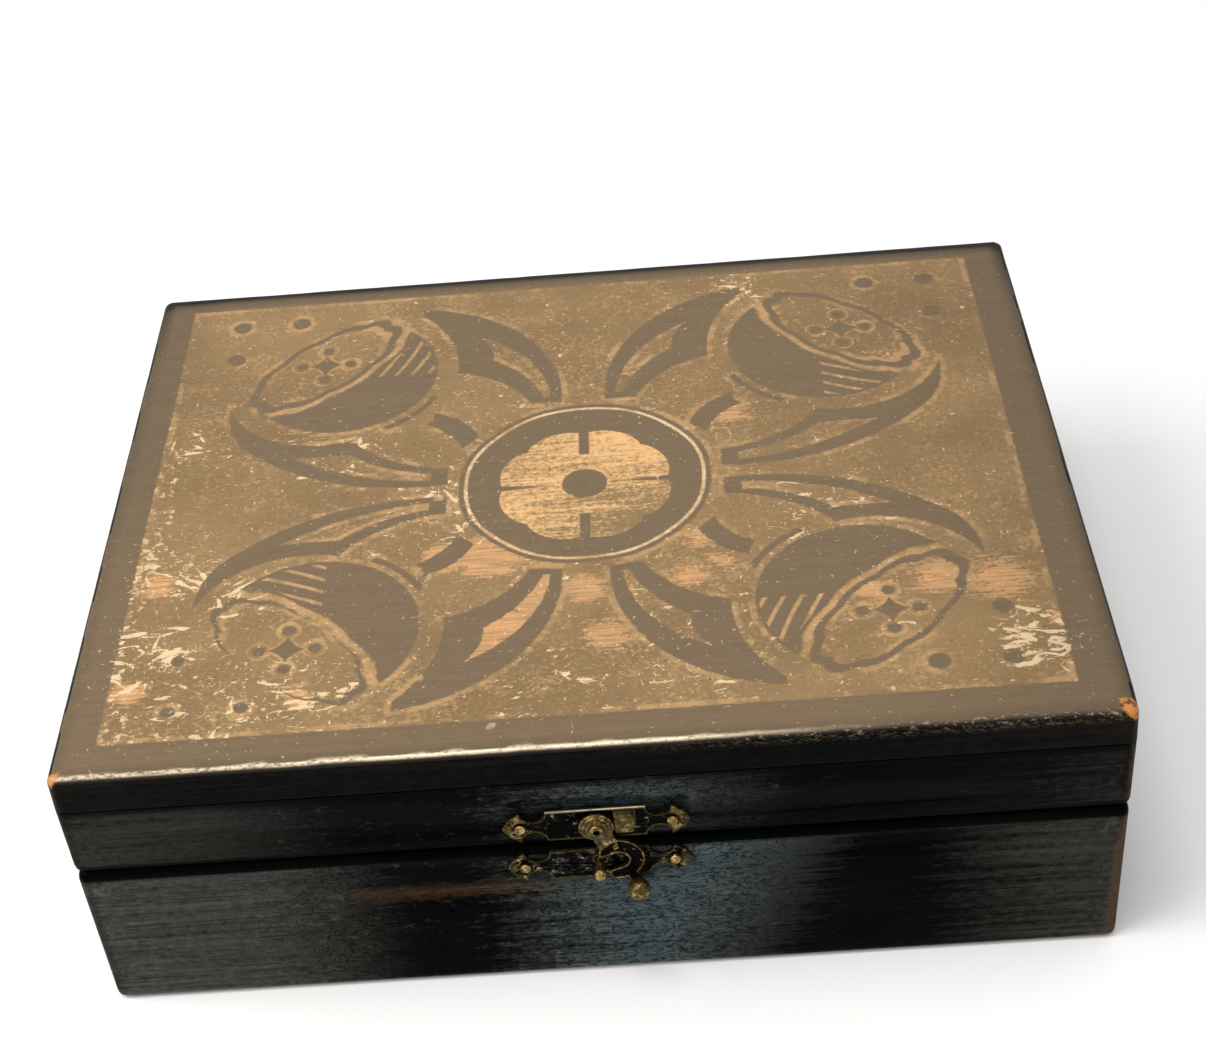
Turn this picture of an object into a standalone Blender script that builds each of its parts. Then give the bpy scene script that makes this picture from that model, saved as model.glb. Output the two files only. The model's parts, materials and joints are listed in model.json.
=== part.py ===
"""Cigar box for papers and keepsakes.

A finger-jointed wooden box. Its lid turns on two brass butt hinges and is held by a swing-hook latch.
Metres, +Z up. The front faces -Y and the origin is the centre of the underside.
"""

from math import asin, atan2, cos, degrees, pi, radians, sin, sqrt

import bmesh
import bpy
from mathutils import Matrix, Vector

MM = 0.001

# Box: driving sizes
WIDTH = 230 * MM
DEPTH = 183 * MM
HEIGHT = 72.5 * MM
LID_HEIGHT = 29.3 * MM
WALL = 7 * MM
TOP_THICKNESS = 9.5 * MM
BOTTOM_THICKNESS = 4 * MM
BOTTOM_TONGUE = 3.3 * MM
RABBET = 3.5 * MM
EDGE_ROUND = 2.1 * MM
BASE_FINGERS = 6
LID_FINGERS = 3

# Clearances
FIT = 0.3 * MM
OVERRUN = 5 * MM
MERGE = 0.001 * MM

# Latch: two sheet brass plates with scalloped ends
PLATE_THICKNESS = 0.9 * MM
PLATE_HALF_HEIGHT = 4.3 * MM
PLATE_STRAIGHT = 10.8 * MM
PLATE_SCALLOP = 2.8 * MM
PLATE_END = 3.9 * MM
PLATE_SHOULDER = 0.4 * MM
UPPER_PLATE_RISE = 7.1 * MM
KEEPER_PLATE_DROP = 5.3 * MM
BEAD_RADIUS = 0.8 * MM
BEAD_SINK = 0.05 * MM
BEAD_SHARE = 0.57

# Nails, rivet and post: how much wood is left behind their points
SHANK_COVER = 2.2 * MM
NAIL_HEAD_RADIUS = 1.25 * MM
NAIL_HEAD_HEIGHT = 0.8 * MM
NAIL_RADIUS = 0.55 * MM
NAIL_POINT = 1.2 * MM
RIVET_RADIUS = 0.9 * MM
RIVET_HEAD_RADIUS = 1.5 * MM
RIVET_HEAD_HEIGHT = 0.6 * MM
RIVET_DIMPLE_RADIUS = 0.55 * MM
RIVET_DIMPLE_SHARE = 0.8
POST_RADIUS = 1.0 * MM
POST_BALL_RADIUS = 1.45 * MM
POST_NECK = 1.55 * MM
POST_RISE = 1.0 * MM

# Hook: cut from sheet, with a turned button round its pivot and a turned knob
HOOK_THICKNESS = 0.9 * MM
BUTTON_RADIUS = 3.75 * MM
BUTTON_STEP = 0.28 * MM
BUTTON_RING_SHARES = (0.84, 0.62)
NECK_HALF_WIDTH = 2.2 * MM
SLOT_RADIUS = 2.3 * MM
RING_WIDTH = 3.8 * MM
RING_SHIFT = 0.25 * MM
RING_RISE = 0.4 * MM
LIP_THICKNESS = 2.8 * MM
LIP_REACH = 3.6 * MM
LIP_ROUND = 0.5 * MM
TAIL_HALF_WIDTH = 1.3 * MM
KNOB_SHIFT = 1.0 * MM
KNOB_BELOW = 8.3 * MM
KNOB_RADIUS = 2.5 * MM
KNOB_TIP = 1.1 * MM
KNOB_TIP_RADIUS = 0.45 * MM
HOOK_OPEN_ANGLE = radians(21)

# Stop lug beside the button on the upper plate
LUG_WIDTH = 4.1 * MM
LUG_INSET = 0.6 * MM
LUG_BOTTOM = 1.9 * MM
LUG_ROUND = 0.7 * MM

# Hinges
HINGE_END = 45 * MM
LEAF_LENGTH = 25 * MM
LEAF_COVER = 2 * MM
LEAF_THICKNESS = 0.9 * MM
HINGE_PIN_RADIUS = 0.8 * MM
KNUCKLE_WALL = 0.6 * MM
KNUCKLE_SHARE = 0.34
HINGE_NAIL_SHARE = 0.33
HINGE_NAIL_INSET_SHARE = 0.58
HINGE_NAIL_HEAD_RADIUS = 1.15 * MM
HINGE_NAIL_SINK_SHARE = 0.6
HINGE_NAIL_LENGTH = 7 * MM

# Facets
ROUND_SIDES = 24
PIN_SIDES = 16
BALL_STEPS = 8
ARC_STEPS = 12
EDGE_STEPS = 4
FLAT_ANGLE = radians(0.5)
SMOOTH_ANGLE = radians(35)

# Box levels that follow
FRONT = -DEPTH / 2
BACK = DEPTH / 2
SEAM_HEIGHT = HEIGHT - LID_HEIGHT
BASE_TOP = SEAM_HEIGHT - FIT / 2
LID_BOTTOM = SEAM_HEIGHT + FIT / 2
TOP_BOTTOM = HEIGHT - TOP_THICKNESS
FRAME_TOP = TOP_BOTTOM - FIT

# Latch places that follow: faces are measured out from the front
PLATE_FACE = FIT + PLATE_THICKNESS
HOOK_BACK = PLATE_FACE + FIT
HOOK_FACE = HOOK_BACK + HOOK_THICKNESS
BUTTON_FACE = HOOK_FACE + BUTTON_STEP * len(BUTTON_RING_SHARES)
POST_BALL_REACH = HOOK_FACE + POST_NECK + POST_BALL_RADIUS
SHANK_GRIP = WALL - SHANK_COVER
PLATE_PEAK = PLATE_STRAIGHT + 2 * PLATE_SCALLOP
PLATE_TIP = PLATE_PEAK + PLATE_END
BEAD_PLACE = PLATE_PEAK + PLATE_END * BEAD_SHARE
LUG_TOP = PLATE_HALF_HEIGHT - LUG_INSET
PIVOT_HEIGHT = SEAM_HEIGHT + UPPER_PLATE_RISE
KEEPER_HEIGHT = SEAM_HEIGHT - KEEPER_PLATE_DROP
POST_HEIGHT = KEEPER_HEIGHT + POST_RISE
HOOK_REACH = PIVOT_HEIGHT - POST_HEIGHT
NECK_LENGTH = HOOK_REACH - SLOT_RADIUS - LIP_THICKNESS
RING_RADIUS = SLOT_RADIUS + RING_WIDTH
KNOB_DROP = HOOK_REACH + KNOB_BELOW

# Hinge places that follow
HINGE_PLACE = WIDTH / 2 - HINGE_END
LEAF_WIDTH = WALL - LEAF_COVER
BARREL_RADIUS = HINGE_PIN_RADIUS + FIT + KNUCKLE_WALL
HINGE_AXIS_Y = BACK + BARREL_RADIUS + FIT
HINGE_NAIL_PLACE = LEAF_LENGTH * HINGE_NAIL_SHARE
HINGE_NAIL_INSET = LEAF_WIDTH * HINGE_NAIL_INSET_SHARE
HINGE_NAIL_SINK = LEAF_THICKNESS * HINGE_NAIL_SINK_SHARE

# Finishes: colour, metallic, roughness
BLACK_PAINT = ((0.018, 0.016, 0.015), 0, 0.3)
TOP_STAIN = ((0.16, 0.115, 0.065), 0, 0.5)
BARE_WOOD = ((0.33, 0.21, 0.11), 0, 0.7)
BRASS = ((0.42, 0.29, 0.1), 1, 0.35)
DARK_BRASS = ((0.12, 0.09, 0.045), 1, 0.45)


def clear_scene():
    for item in list(bpy.data.objects):
        bpy.data.objects.remove(item)


def make_collection(name):
    collection = bpy.data.collections.new(name)
    bpy.context.scene.collection.children.link(collection)
    return collection


def add_object(name, data, collection):
    item = bpy.data.objects.new(name, data)
    collection.objects.link(item)
    return item


def smoothed(mesh):
    """Shade round faces smooth and keep edges crisp."""
    mesh.shade_smooth()
    mesh.set_sharp_from_angle(angle=SMOOTH_ANGLE)
    return mesh


def mesh_object(name, shape, collection):
    """Turn a bmesh into a named object."""
    mesh = bpy.data.meshes.new(name)
    shape.to_mesh(mesh)
    shape.free()
    return add_object(name, smoothed(mesh), collection)


def guide(item):
    """Show a cutter or a trimming shape as wire only."""
    item.hide_render = True
    item.display_type = "WIRE"
    return item


def finish(item, look):
    """Give a piece its own material."""
    colour, metallic, roughness = look
    material = bpy.data.materials.new(item.name)
    material.use_nodes = True
    shader = material.node_tree.nodes["Principled BSDF"]
    shader.inputs["Base Color"].default_value = (*colour, 1)
    shader.inputs["Metallic"].default_value = metallic
    shader.inputs["Roughness"].default_value = roughness
    item.data.materials.clear()
    item.data.materials.append(material)
    return item


def modify(item, other, operation):
    """Cut, join or trim a piece with another object."""
    change = item.modifiers.new(operation.title(), "BOOLEAN")
    change.operation = operation
    change.solver = "EXACT"
    change.object = other


def carved_mesh(item):
    """The mesh of an object as its modifiers leave it."""
    bpy.context.view_layer.update()
    graph = bpy.context.evaluated_depsgraph_get()
    return smoothed(bpy.data.meshes.new_from_object(item.evaluated_get(graph)))


def add_block(shape, low, high):
    """A box between two corners."""
    low, high = Vector(low), Vector(high)
    size = high - low
    matrix = Matrix.Translation((low + high) / 2) @ Matrix.Diagonal((size.x, size.y, size.z, 1))
    bmesh.ops.create_cube(shape, size=1, matrix=matrix)


def add_rod(shape, start, end, radius, sides):
    """A round bar between two points."""
    start, end = Vector(start), Vector(end)
    run = end - start
    matrix = Matrix.Translation((start + end) / 2) @ run.to_track_quat("Z", "Y").to_matrix().to_4x4()
    bmesh.ops.create_cone(
        shape, cap_ends=True, segments=sides, radius1=radius, radius2=radius, depth=run.length, matrix=matrix
    )


def block_object(name, low, high, collection):
    shape = bmesh.new()
    add_block(shape, low, high)
    return mesh_object(name, shape, collection)


def rod_object(name, start, end, radius, sides, collection):
    shape = bmesh.new()
    add_rod(shape, start, end, radius, sides)
    return mesh_object(name, shape, collection)


def arc(centre, radius, start, end, steps):
    """Points on an arc from one angle to another, in degrees."""
    points = []
    for step in range(steps + 1):
        angle = radians(start + (end - start) * step / steps)
        points.append((centre[0] + radius * cos(angle), centre[1] + radius * sin(angle)))
    return points


def turned(name, profile, sides, collection):
    """A lathe shape about Z: the profile's (radius, height) points run down its outside."""
    mesh = bpy.data.meshes.new(name)
    points = [(radius, 0, height) for radius, height in profile]
    mesh.from_pydata(points, [(row, row + 1) for row in range(len(points) - 1)], [])
    lathe = add_object(f"{name}_profile", mesh, collection)
    screw = lathe.modifiers.new("Turn", "SCREW")
    screw.axis = "Z"
    screw.steps = sides
    screw.render_steps = sides
    screw.use_merge_vertices = True
    screw.merge_threshold = MERGE
    item = add_object(name, carved_mesh(lathe), collection)
    bpy.data.objects.remove(lathe)
    return item


def sheet_mesh(name, outline, back, thickness, collection):
    """A flat sheet that faces -Y: its outline is in X and Z, its back lies at -back on Y."""
    curve = bpy.data.curves.new(name, "CURVE")
    curve.dimensions = "2D"
    curve.fill_mode = "BOTH"
    curve.extrude = thickness / 2
    spline = curve.splines.new("POLY")
    spline.points.add(len(outline) - 1)
    for point, (across, up) in zip(spline.points, outline):
        point.co = (across, up, 0, 1)
    spline.use_cyclic_u = True
    drawn = add_object(name, curve, collection)
    drawn.rotation_euler = (pi / 2, 0, 0)
    drawn.location.y = -back - thickness / 2
    bpy.context.view_layer.update()
    graph = bpy.context.evaluated_depsgraph_get()
    mesh = bpy.data.meshes.new_from_object(drawn.evaluated_get(graph))
    shape = bmesh.new()
    shape.from_mesh(mesh)
    shape.transform(drawn.matrix_world)
    bmesh.ops.remove_doubles(shape, verts=shape.verts, dist=MERGE)
    bmesh.ops.dissolve_limit(shape, angle_limit=FLAT_ANGLE, verts=shape.verts, edges=shape.edges)
    bmesh.ops.recalc_face_normals(shape, faces=shape.faces)
    shape.to_mesh(mesh)
    shape.free()
    bpy.data.objects.remove(drawn)
    return smoothed(mesh)


def envelope(name, bottom, top, collection):
    """The rounded outer form that trims a set of boards."""
    item = guide(block_object(name, (-WIDTH / 2, FRONT, bottom), (WIDTH / 2, BACK, top), collection))
    bevel = item.modifiers.new("Round", "BEVEL")
    bevel.width = EDGE_ROUND
    bevel.segments = EDGE_STEPS
    bevel.limit_method = "NONE"
    return item


def finger_notches(shape, bottom, top, count, first, along_x):
    """Blocks that cut every other finger from both ends of a board, for all four corners."""
    pitch = (top - bottom) / count
    for level in range(first, count, 2):
        low = bottom + level * pitch - FIT / 2
        high = low + pitch + FIT
        if level == 0:
            low = bottom - OVERRUN
        if level == count - 1:
            high = top + OVERRUN
        for side in (-1, 1):
            if along_x:
                ends = sorted((side * (WIDTH / 2 + OVERRUN), side * (WIDTH / 2 - WALL - FIT)))
                add_block(shape, (ends[0], FRONT - OVERRUN, low), (ends[1], BACK + OVERRUN, high))
            else:
                ends = sorted((side * (BACK + OVERRUN), side * (BACK - WALL - FIT)))
                add_block(shape, (-WIDTH / 2 - OVERRUN, ends[0], low), (WIDTH / 2 + OVERRUN, ends[1], high))


def board_ring(prefix, bottom, top, fingers, trim, look, parts, cutters):
    """Four boards joined by fingers at the corners, trimmed to the outer form."""
    cuts = {}
    for key, first, along_x in (("across", 1, True), ("along", 0, False)):
        shape = bmesh.new()
        finger_notches(shape, bottom, top, fingers, first, along_x)
        cuts[key] = guide(mesh_object(f"{prefix}_{key}_notches", shape, cutters))
    outer_x, inner_x = WIDTH / 2 + OVERRUN, WIDTH / 2 - WALL
    outer_y, inner_y = BACK + OVERRUN, BACK - WALL
    low, high = bottom - OVERRUN, top + OVERRUN
    blanks = {
        "front": ((-outer_x, -outer_y, low), (outer_x, -inner_y, high), "across"),
        "back": ((-outer_x, inner_y, low), (outer_x, outer_y, high), "across"),
        "left": ((-outer_x, -outer_y, low), (-inner_x, outer_y, high), "along"),
        "right": ((inner_x, -outer_y, low), (outer_x, outer_y, high), "along"),
    }
    boards = {}
    for side, (start, end, key) in blanks.items():
        board = block_object(f"{prefix}_{side}", start, end, parts)
        modify(board, cuts[key], "DIFFERENCE")
        modify(board, trim, "INTERSECT")
        boards[side] = finish(board, look)
    return boards


def make_base(parts, cutters):
    """The four base boards and the bottom panel, whose thinner edge sits in their rabbet."""
    trim = envelope("base_envelope", 0, BASE_TOP, cutters)
    boards = board_ring("base", 0, BASE_TOP, BASE_FINGERS, trim, BLACK_PAINT, parts, cutters)
    half_x = WIDTH / 2 - WALL + RABBET
    half_y = BACK - WALL + RABBET
    rabbet = guide(
        block_object(
            "bottom_rabbet",
            (-half_x - FIT, -half_y - FIT, -OVERRUN),
            (half_x + FIT, half_y + FIT, BOTTOM_TONGUE + FIT),
            cutters,
        )
    )
    for board in boards.values():
        modify(board, rabbet, "DIFFERENCE")
    bottom = block_object("base_bottom", (-half_x, -half_y, 0), (half_x, half_y, BOTTOM_TONGUE), parts)
    field_x = half_x - RABBET - FIT
    field_y = half_y - RABBET - FIT
    field = guide(
        block_object(
            "bottom_field",
            (-field_x, -field_y, BOTTOM_TONGUE / 2),
            (field_x, field_y, BOTTOM_THICKNESS),
            cutters,
        )
    )
    modify(bottom, field, "UNION")
    finish(bottom, BARE_WOOD)
    return boards


def make_lid(parts, cutters):
    """The four boards of the lid's rim and the thick top board on them."""
    trim = envelope("lid_envelope", LID_BOTTOM, HEIGHT, cutters)
    low_trim = guide(
        block_object(
            "lid_rim_trim",
            (-WIDTH / 2 - OVERRUN, FRONT - OVERRUN, FRAME_TOP),
            (WIDTH / 2 + OVERRUN, BACK + OVERRUN, HEIGHT + OVERRUN),
            cutters,
        )
    )
    boards = board_ring("lid", LID_BOTTOM, FRAME_TOP, LID_FINGERS, trim, BLACK_PAINT, parts, cutters)
    for board in boards.values():
        modify(board, low_trim, "DIFFERENCE")
    top = block_object(
        "lid_top",
        (-WIDTH / 2 - OVERRUN, FRONT - OVERRUN, TOP_BOTTOM),
        (WIDTH / 2 + OVERRUN, BACK + OVERRUN, HEIGHT + OVERRUN),
        parts,
    )
    modify(top, trim, "INTERSECT")
    boards["top"] = finish(top, TOP_STAIN)
    return boards


def plate_outline():
    """The latch plate's outline: a straight middle, four round scallops and two pointed ends."""
    scallop = arc((PLATE_STRAIGHT + PLATE_SCALLOP, PLATE_HALF_HEIGHT), PLATE_SCALLOP, 180, 360, ARC_STEPS)
    peak = scallop[-1]
    middle = (
        (peak[0] + PLATE_TIP) / 2 + PLATE_SHOULDER,
        peak[1] / 2 + PLATE_SHOULDER,
    )
    quarter = scallop + [middle]
    right = quarter + [(PLATE_TIP, 0)] + [(across, -up) for across, up in reversed(quarter)]
    return right + [(-across, -up) for across, up in right]


def make_plate(name, height, parts, cutters):
    """One latch plate on the front, with two beads and two nail holes."""
    mesh = sheet_mesh(name, plate_outline(), FIT, PLATE_THICKNESS, parts)
    plate = add_object(name, mesh, parts)
    plate.location = (0, FRONT, height)
    beads = bmesh.new()
    holes = bmesh.new()
    for side in (-1, 1):
        seat = Matrix.Translation((side * BEAD_PLACE, FRONT - PLATE_FACE + BEAD_SINK, height))
        bmesh.ops.create_uvsphere(
            beads, u_segments=PIN_SIDES, v_segments=BALL_STEPS, radius=BEAD_RADIUS, matrix=seat
        )
        start = (side * PLATE_PEAK, FRONT - PLATE_FACE - OVERRUN, height)
        end = (side * PLATE_PEAK, FRONT, height)
        add_rod(holes, start, end, NAIL_RADIUS + FIT, PIN_SIDES)
    modify(plate, guide(mesh_object(f"{name}_beads", beads, cutters)), "UNION")
    modify(plate, guide(mesh_object(f"{name}_holes", holes, cutters)), "DIFFERENCE")
    return plate


def make_latch_nails(prefix, height, board, parts, cutters):
    """Two round-head nails through a latch plate into the board behind it."""
    dome = []
    for step in range(BALL_STEPS + 1):
        angle = pi / 2 * step / BALL_STEPS
        dome.append((NAIL_HEAD_RADIUS * sin(angle), NAIL_HEAD_HEIGHT * cos(angle)))
    shank = HOOK_BACK + SHANK_GRIP
    profile = dome + [(NAIL_RADIUS, 0), (NAIL_RADIUS, NAIL_POINT - shank), (0, -shank)]
    nails = []
    for side, label in ((-1, "left"), (1, "right")):
        nail = turned(f"{prefix}_nail_{label}", profile, PIN_SIDES, parts)
        nail.location = (side * PLATE_PEAK, FRONT - HOOK_BACK, height)
        nail.rotation_euler = (pi / 2, 0, 0)
        nails.append(finish(nail, BRASS))
        pilot_hole(f"{prefix}_pilot_{label}", side * PLATE_PEAK, height, NAIL_RADIUS, board, cutters)
    return nails


def pilot_hole(name, across, height, radius, board, cutters):
    """A round hole in a front board for a nail, rivet or post."""
    start = (across, FRONT - OVERRUN, height)
    end = (across, FRONT + SHANK_GRIP + FIT, height)
    modify(board, guide(rod_object(name, start, end, radius + FIT, PIN_SIDES, cutters)), "DIFFERENCE")


def through_hole(name, radius, height, plate, cutters):
    """A round hole through a latch plate on the centre line."""
    start = (0, FRONT - PLATE_FACE - OVERRUN, height)
    end = (0, FRONT, height)
    modify(plate, guide(rod_object(name, start, end, radius + FIT, PIN_SIDES, cutters)), "DIFFERENCE")


def make_lug(plate, cutters):
    """The stop lug that stands on the upper plate and ends the hook's free swing."""
    left = BUTTON_RADIUS + FIT
    right = left + LUG_WIDTH
    low = arc((right - LUG_ROUND, LUG_ROUND - LUG_BOTTOM), LUG_ROUND, 270, 360, EDGE_STEPS)
    high = arc((right - LUG_ROUND, LUG_TOP - LUG_ROUND), LUG_ROUND, 0, 90, EDGE_STEPS)
    outline = [(left, -LUG_BOTTOM)] + low + high + [(left, LUG_TOP)]
    seat = PLATE_FACE - PLATE_THICKNESS / 2
    mesh = sheet_mesh("stop_lug", outline, seat, HOOK_FACE - seat, cutters)
    lug = guide(add_object("stop_lug", mesh, cutters))
    lug.location = (0, FRONT, PIVOT_HEIGHT)
    modify(plate, lug, "UNION")


def hook_outline():
    """The hook as it hangs when latched, pointing straight down from its pivot."""
    neck_angle = degrees(asin(NECK_HALF_WIDTH / BUTTON_RADIUS))
    slot = (0, -HOOK_REACH)
    ring = (-RING_SHIFT, RING_RISE - HOOK_REACH)
    lip_top = SLOT_RADIUS - HOOK_REACH + LIP_ROUND
    lip_low = -SLOT_RADIUS - HOOK_REACH - LIP_ROUND
    tail_left, tail_right = KNOB_SHIFT - TAIL_HALF_WIDTH, KNOB_SHIFT + TAIL_HALF_WIDTH

    def ring_angle(across, up_sign):
        offset = across - ring[0]
        return degrees(atan2(up_sign * sqrt(RING_RADIUS**2 - offset**2), offset)) % 360

    points = arc((0, 0), BUTTON_RADIUS, neck_angle - 90, 270 - neck_angle, 2 * ARC_STEPS)
    points.append((-NECK_HALF_WIDTH, -NECK_LENGTH))
    points += arc((LIP_ROUND - LIP_REACH, lip_top), LIP_ROUND, 180, 270, EDGE_STEPS)
    points += arc(slot, SLOT_RADIUS, 90, -90, 2 * ARC_STEPS)
    points += arc((LIP_ROUND - LIP_REACH, lip_low), LIP_ROUND, 90, 180, EDGE_STEPS)
    points += arc(ring, RING_RADIUS, ring_angle(-LIP_REACH, -1), ring_angle(tail_left, -1), EDGE_STEPS)
    points += arc((KNOB_SHIFT, -KNOB_DROP), TAIL_HALF_WIDTH, 180, 360, ARC_STEPS)
    points += arc(
        ring, RING_RADIUS, ring_angle(tail_right, -1), 360 + ring_angle(NECK_HALF_WIDTH, 1), 2 * ARC_STEPS
    )
    return points


def make_hook(parts, cutters):
    """The hook with its stepped button and its ball knob, turned to the open place of the photograph."""
    blank = guide(
        add_object(
            "hook_blank",
            sheet_mesh("hook_blank", hook_outline(), HOOK_BACK, HOOK_THICKNESS, cutters),
            cutters,
        )
    )
    steps = [(0, BUTTON_FACE)]
    level = BUTTON_FACE
    for share in reversed(BUTTON_RING_SHARES):
        steps += [(BUTTON_RADIUS * share, level), (BUTTON_RADIUS * share, level - BUTTON_STEP)]
        level -= BUTTON_STEP
    steps[-1] = (steps[-1][0], HOOK_BACK + HOOK_THICKNESS / 2)
    steps.append((0, HOOK_BACK + HOOK_THICKNESS / 2))
    button = guide(turned("hook_button", steps, 2 * ROUND_SIDES, cutters))
    button.rotation_euler = (pi / 2, 0, 0)
    modify(blank, button, "UNION")

    tip_turn = degrees(asin(KNOB_TIP_RADIUS / KNOB_RADIUS))
    ball = arc((0, 0), KNOB_RADIUS, 90, tip_turn - 90, 2 * BALL_STEPS)
    knob_profile = [(0, KNOB_RADIUS)] + ball[1:] + [(0, -KNOB_RADIUS - KNOB_TIP)]
    knob = guide(turned("hook_knob", knob_profile, ROUND_SIDES, cutters))
    knob.location = (KNOB_SHIFT, -HOOK_BACK - HOOK_THICKNESS / 2 - KNOB_RADIUS, -KNOB_DROP)
    modify(blank, knob, "UNION")

    bore = rod_object(
        "hook_bore", (0, OVERRUN, 0), (0, -BUTTON_FACE - OVERRUN, 0), RIVET_RADIUS + FIT, ROUND_SIDES, cutters
    )
    modify(blank, guide(bore), "DIFFERENCE")
    hook = add_object("latch_hook", carved_mesh(blank), parts)
    hook.location = (0, FRONT, PIVOT_HEIGHT)
    hook.rotation_euler = (0, -HOOK_OPEN_ANGLE, 0)
    return finish(hook, BRASS)


def make_rivet(parts):
    """The rivet that the hook turns on, with a dimple in its head."""
    floor = RIVET_HEAD_HEIGHT * (1 - RIVET_DIMPLE_SHARE)
    head = [(0, floor), (RIVET_DIMPLE_RADIUS, floor), (RIVET_DIMPLE_RADIUS, RIVET_HEAD_HEIGHT)]
    run = RIVET_HEAD_RADIUS - RIVET_DIMPLE_RADIUS
    for step in range(1, BALL_STEPS + 1):
        angle = pi / 2 * step / BALL_STEPS
        head.append((RIVET_DIMPLE_RADIUS + run * sin(angle), RIVET_HEAD_HEIGHT * cos(angle)))
    foot = -BUTTON_FACE - FIT - SHANK_GRIP
    profile = head + [(RIVET_RADIUS, 0), (RIVET_RADIUS, foot), (0, foot)]
    rivet = turned("latch_rivet", profile, ROUND_SIDES, parts)
    rivet.location = (0, FRONT - BUTTON_FACE - FIT, PIVOT_HEIGHT)
    rivet.rotation_euler = (pi / 2, 0, 0)
    return finish(rivet, BRASS)


def make_post(parts):
    """The ball-headed post on the keeper plate that the hook's slot passes round."""
    join = degrees(asin(POST_RADIUS / POST_BALL_RADIUS))
    ball = arc((0, POST_BALL_REACH), POST_BALL_RADIUS, 90, join - 90, 2 * BALL_STEPS)
    top = [(0, POST_BALL_REACH + POST_BALL_RADIUS)]
    profile = top + ball[1:] + [(POST_RADIUS, -SHANK_GRIP), (0, -SHANK_GRIP)]
    post = turned("latch_keeper_post", profile, ROUND_SIDES, parts)
    post.location = (0, FRONT, POST_HEIGHT)
    post.rotation_euler = (pi / 2, 0, 0)
    return finish(post, BRASS)


def make_latch(base, lid, parts, cutters):
    """Both latch plates with their nails, the post, the rivet and the hook."""
    keeper = make_plate("latch_keeper_plate", KEEPER_HEIGHT, parts, cutters)
    through_hole("keeper_post_hole", POST_RADIUS, POST_HEIGHT, keeper, cutters)
    pilot_hole("keeper_post_pilot", 0, POST_HEIGHT, POST_RADIUS, base["front"], cutters)
    make_latch_nails("keeper", KEEPER_HEIGHT, base["front"], parts, cutters)
    make_post(parts)
    finish(keeper, DARK_BRASS)

    upper = make_plate("latch_upper_plate", PIVOT_HEIGHT, parts, cutters)
    make_lug(upper, cutters)
    through_hole("hook_rivet_hole", RIVET_RADIUS, PIVOT_HEIGHT, upper, cutters)
    pilot_hole("hook_rivet_pilot", 0, PIVOT_HEIGHT, RIVET_RADIUS, lid["front"], cutters)
    nails = make_latch_nails("upper", PIVOT_HEIGHT, lid["front"], parts, cutters)
    moving = [finish(upper, DARK_BRASS), make_rivet(parts)] + nails
    return moving, make_hook(parts, cutters)


def leaf_mesh(name, knuckle_spans, notch_spans, cutters):
    """One hinge leaf about the pin's axis along X: its plate lies below the seam, toward -Y."""
    half = LEAF_LENGTH / 2
    inner = BACK - LEAF_WIDTH - HINGE_AXIS_Y
    top = -FIT / 2
    leaf = guide(block_object(name, (-half, inner, top - LEAF_THICKNESS), (half, 0, top), cutters))
    clear = BARREL_RADIUS + FIT
    notches = bmesh.new()
    for start, end in notch_spans:
        add_block(notches, (start, -clear, -clear), (end, clear, clear))
    modify(leaf, guide(mesh_object(f"{name}_notches", notches, cutters)), "DIFFERENCE")
    knuckles = bmesh.new()
    for start, end in knuckle_spans:
        add_rod(knuckles, (start, 0, 0), (end, 0, 0), BARREL_RADIUS, ROUND_SIDES)
    modify(leaf, guide(mesh_object(f"{name}_knuckles", knuckles, cutters)), "UNION")
    reach = half + OVERRUN
    bore_radius = (HINGE_PIN_RADIUS + FIT) / cos(pi / ROUND_SIDES)
    bore = rod_object(f"{name}_bore", (-reach, 0, 0), (reach, 0, 0), bore_radius, ROUND_SIDES, cutters)
    modify(leaf, guide(bore), "DIFFERENCE")
    for side in (-1, 1):
        sink = turned(f"{name}_sink_{side}", hinge_nail_profile(FIT, OVERRUN), PIN_SIDES, cutters)
        sink.location = (side * HINGE_NAIL_PLACE, BACK - HINGE_NAIL_INSET - HINGE_AXIS_Y, top)
        modify(leaf, guide(sink), "DIFFERENCE")
    return carved_mesh(leaf)


def hinge_nail_profile(clearance, lead):
    """A countersunk nail, or the hole for it when it is given a clearance and a lead above the head."""
    head = HINGE_NAIL_HEAD_RADIUS + clearance
    shank = NAIL_RADIUS + clearance
    foot = -HINGE_NAIL_LENGTH - clearance
    rim = [(0, lead), (head, lead), (head, 0)] if lead else [(0, 0), (head, 0)]
    return rim + [(shank, -HINGE_NAIL_SINK), (shank, foot + NAIL_POINT), (0, foot)]


def let_in_leaf(board, label, across, level, into, cutters):
    """The mortise and the two pilot holes that seat one leaf in a rim: into is -1 down or 1 up."""
    half = LEAF_LENGTH / 2 + FIT
    heights = sorted((level - into * OVERRUN, level + into * (LEAF_THICKNESS + FIT)))
    low = (across - half, BACK - LEAF_WIDTH - FIT, heights[0])
    high = (across + half, BACK + OVERRUN, heights[1])
    mortise = guide(block_object(f"{board.name}_mortise_{label}", low, high, cutters))
    modify(board, mortise, "DIFFERENCE")
    holes = bmesh.new()
    for side in (-1, 1):
        place = (across + side * HINGE_NAIL_PLACE, BACK - HINGE_NAIL_INSET)
        start = (*place, level - into * OVERRUN)
        end = (*place, level + into * (HINGE_NAIL_LENGTH + FIT))
        add_rod(holes, start, end, NAIL_RADIUS + FIT, PIN_SIDES)
    modify(board, guide(mesh_object(f"{board.name}_pilots_{label}", holes, cutters)), "DIFFERENCE")


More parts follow.
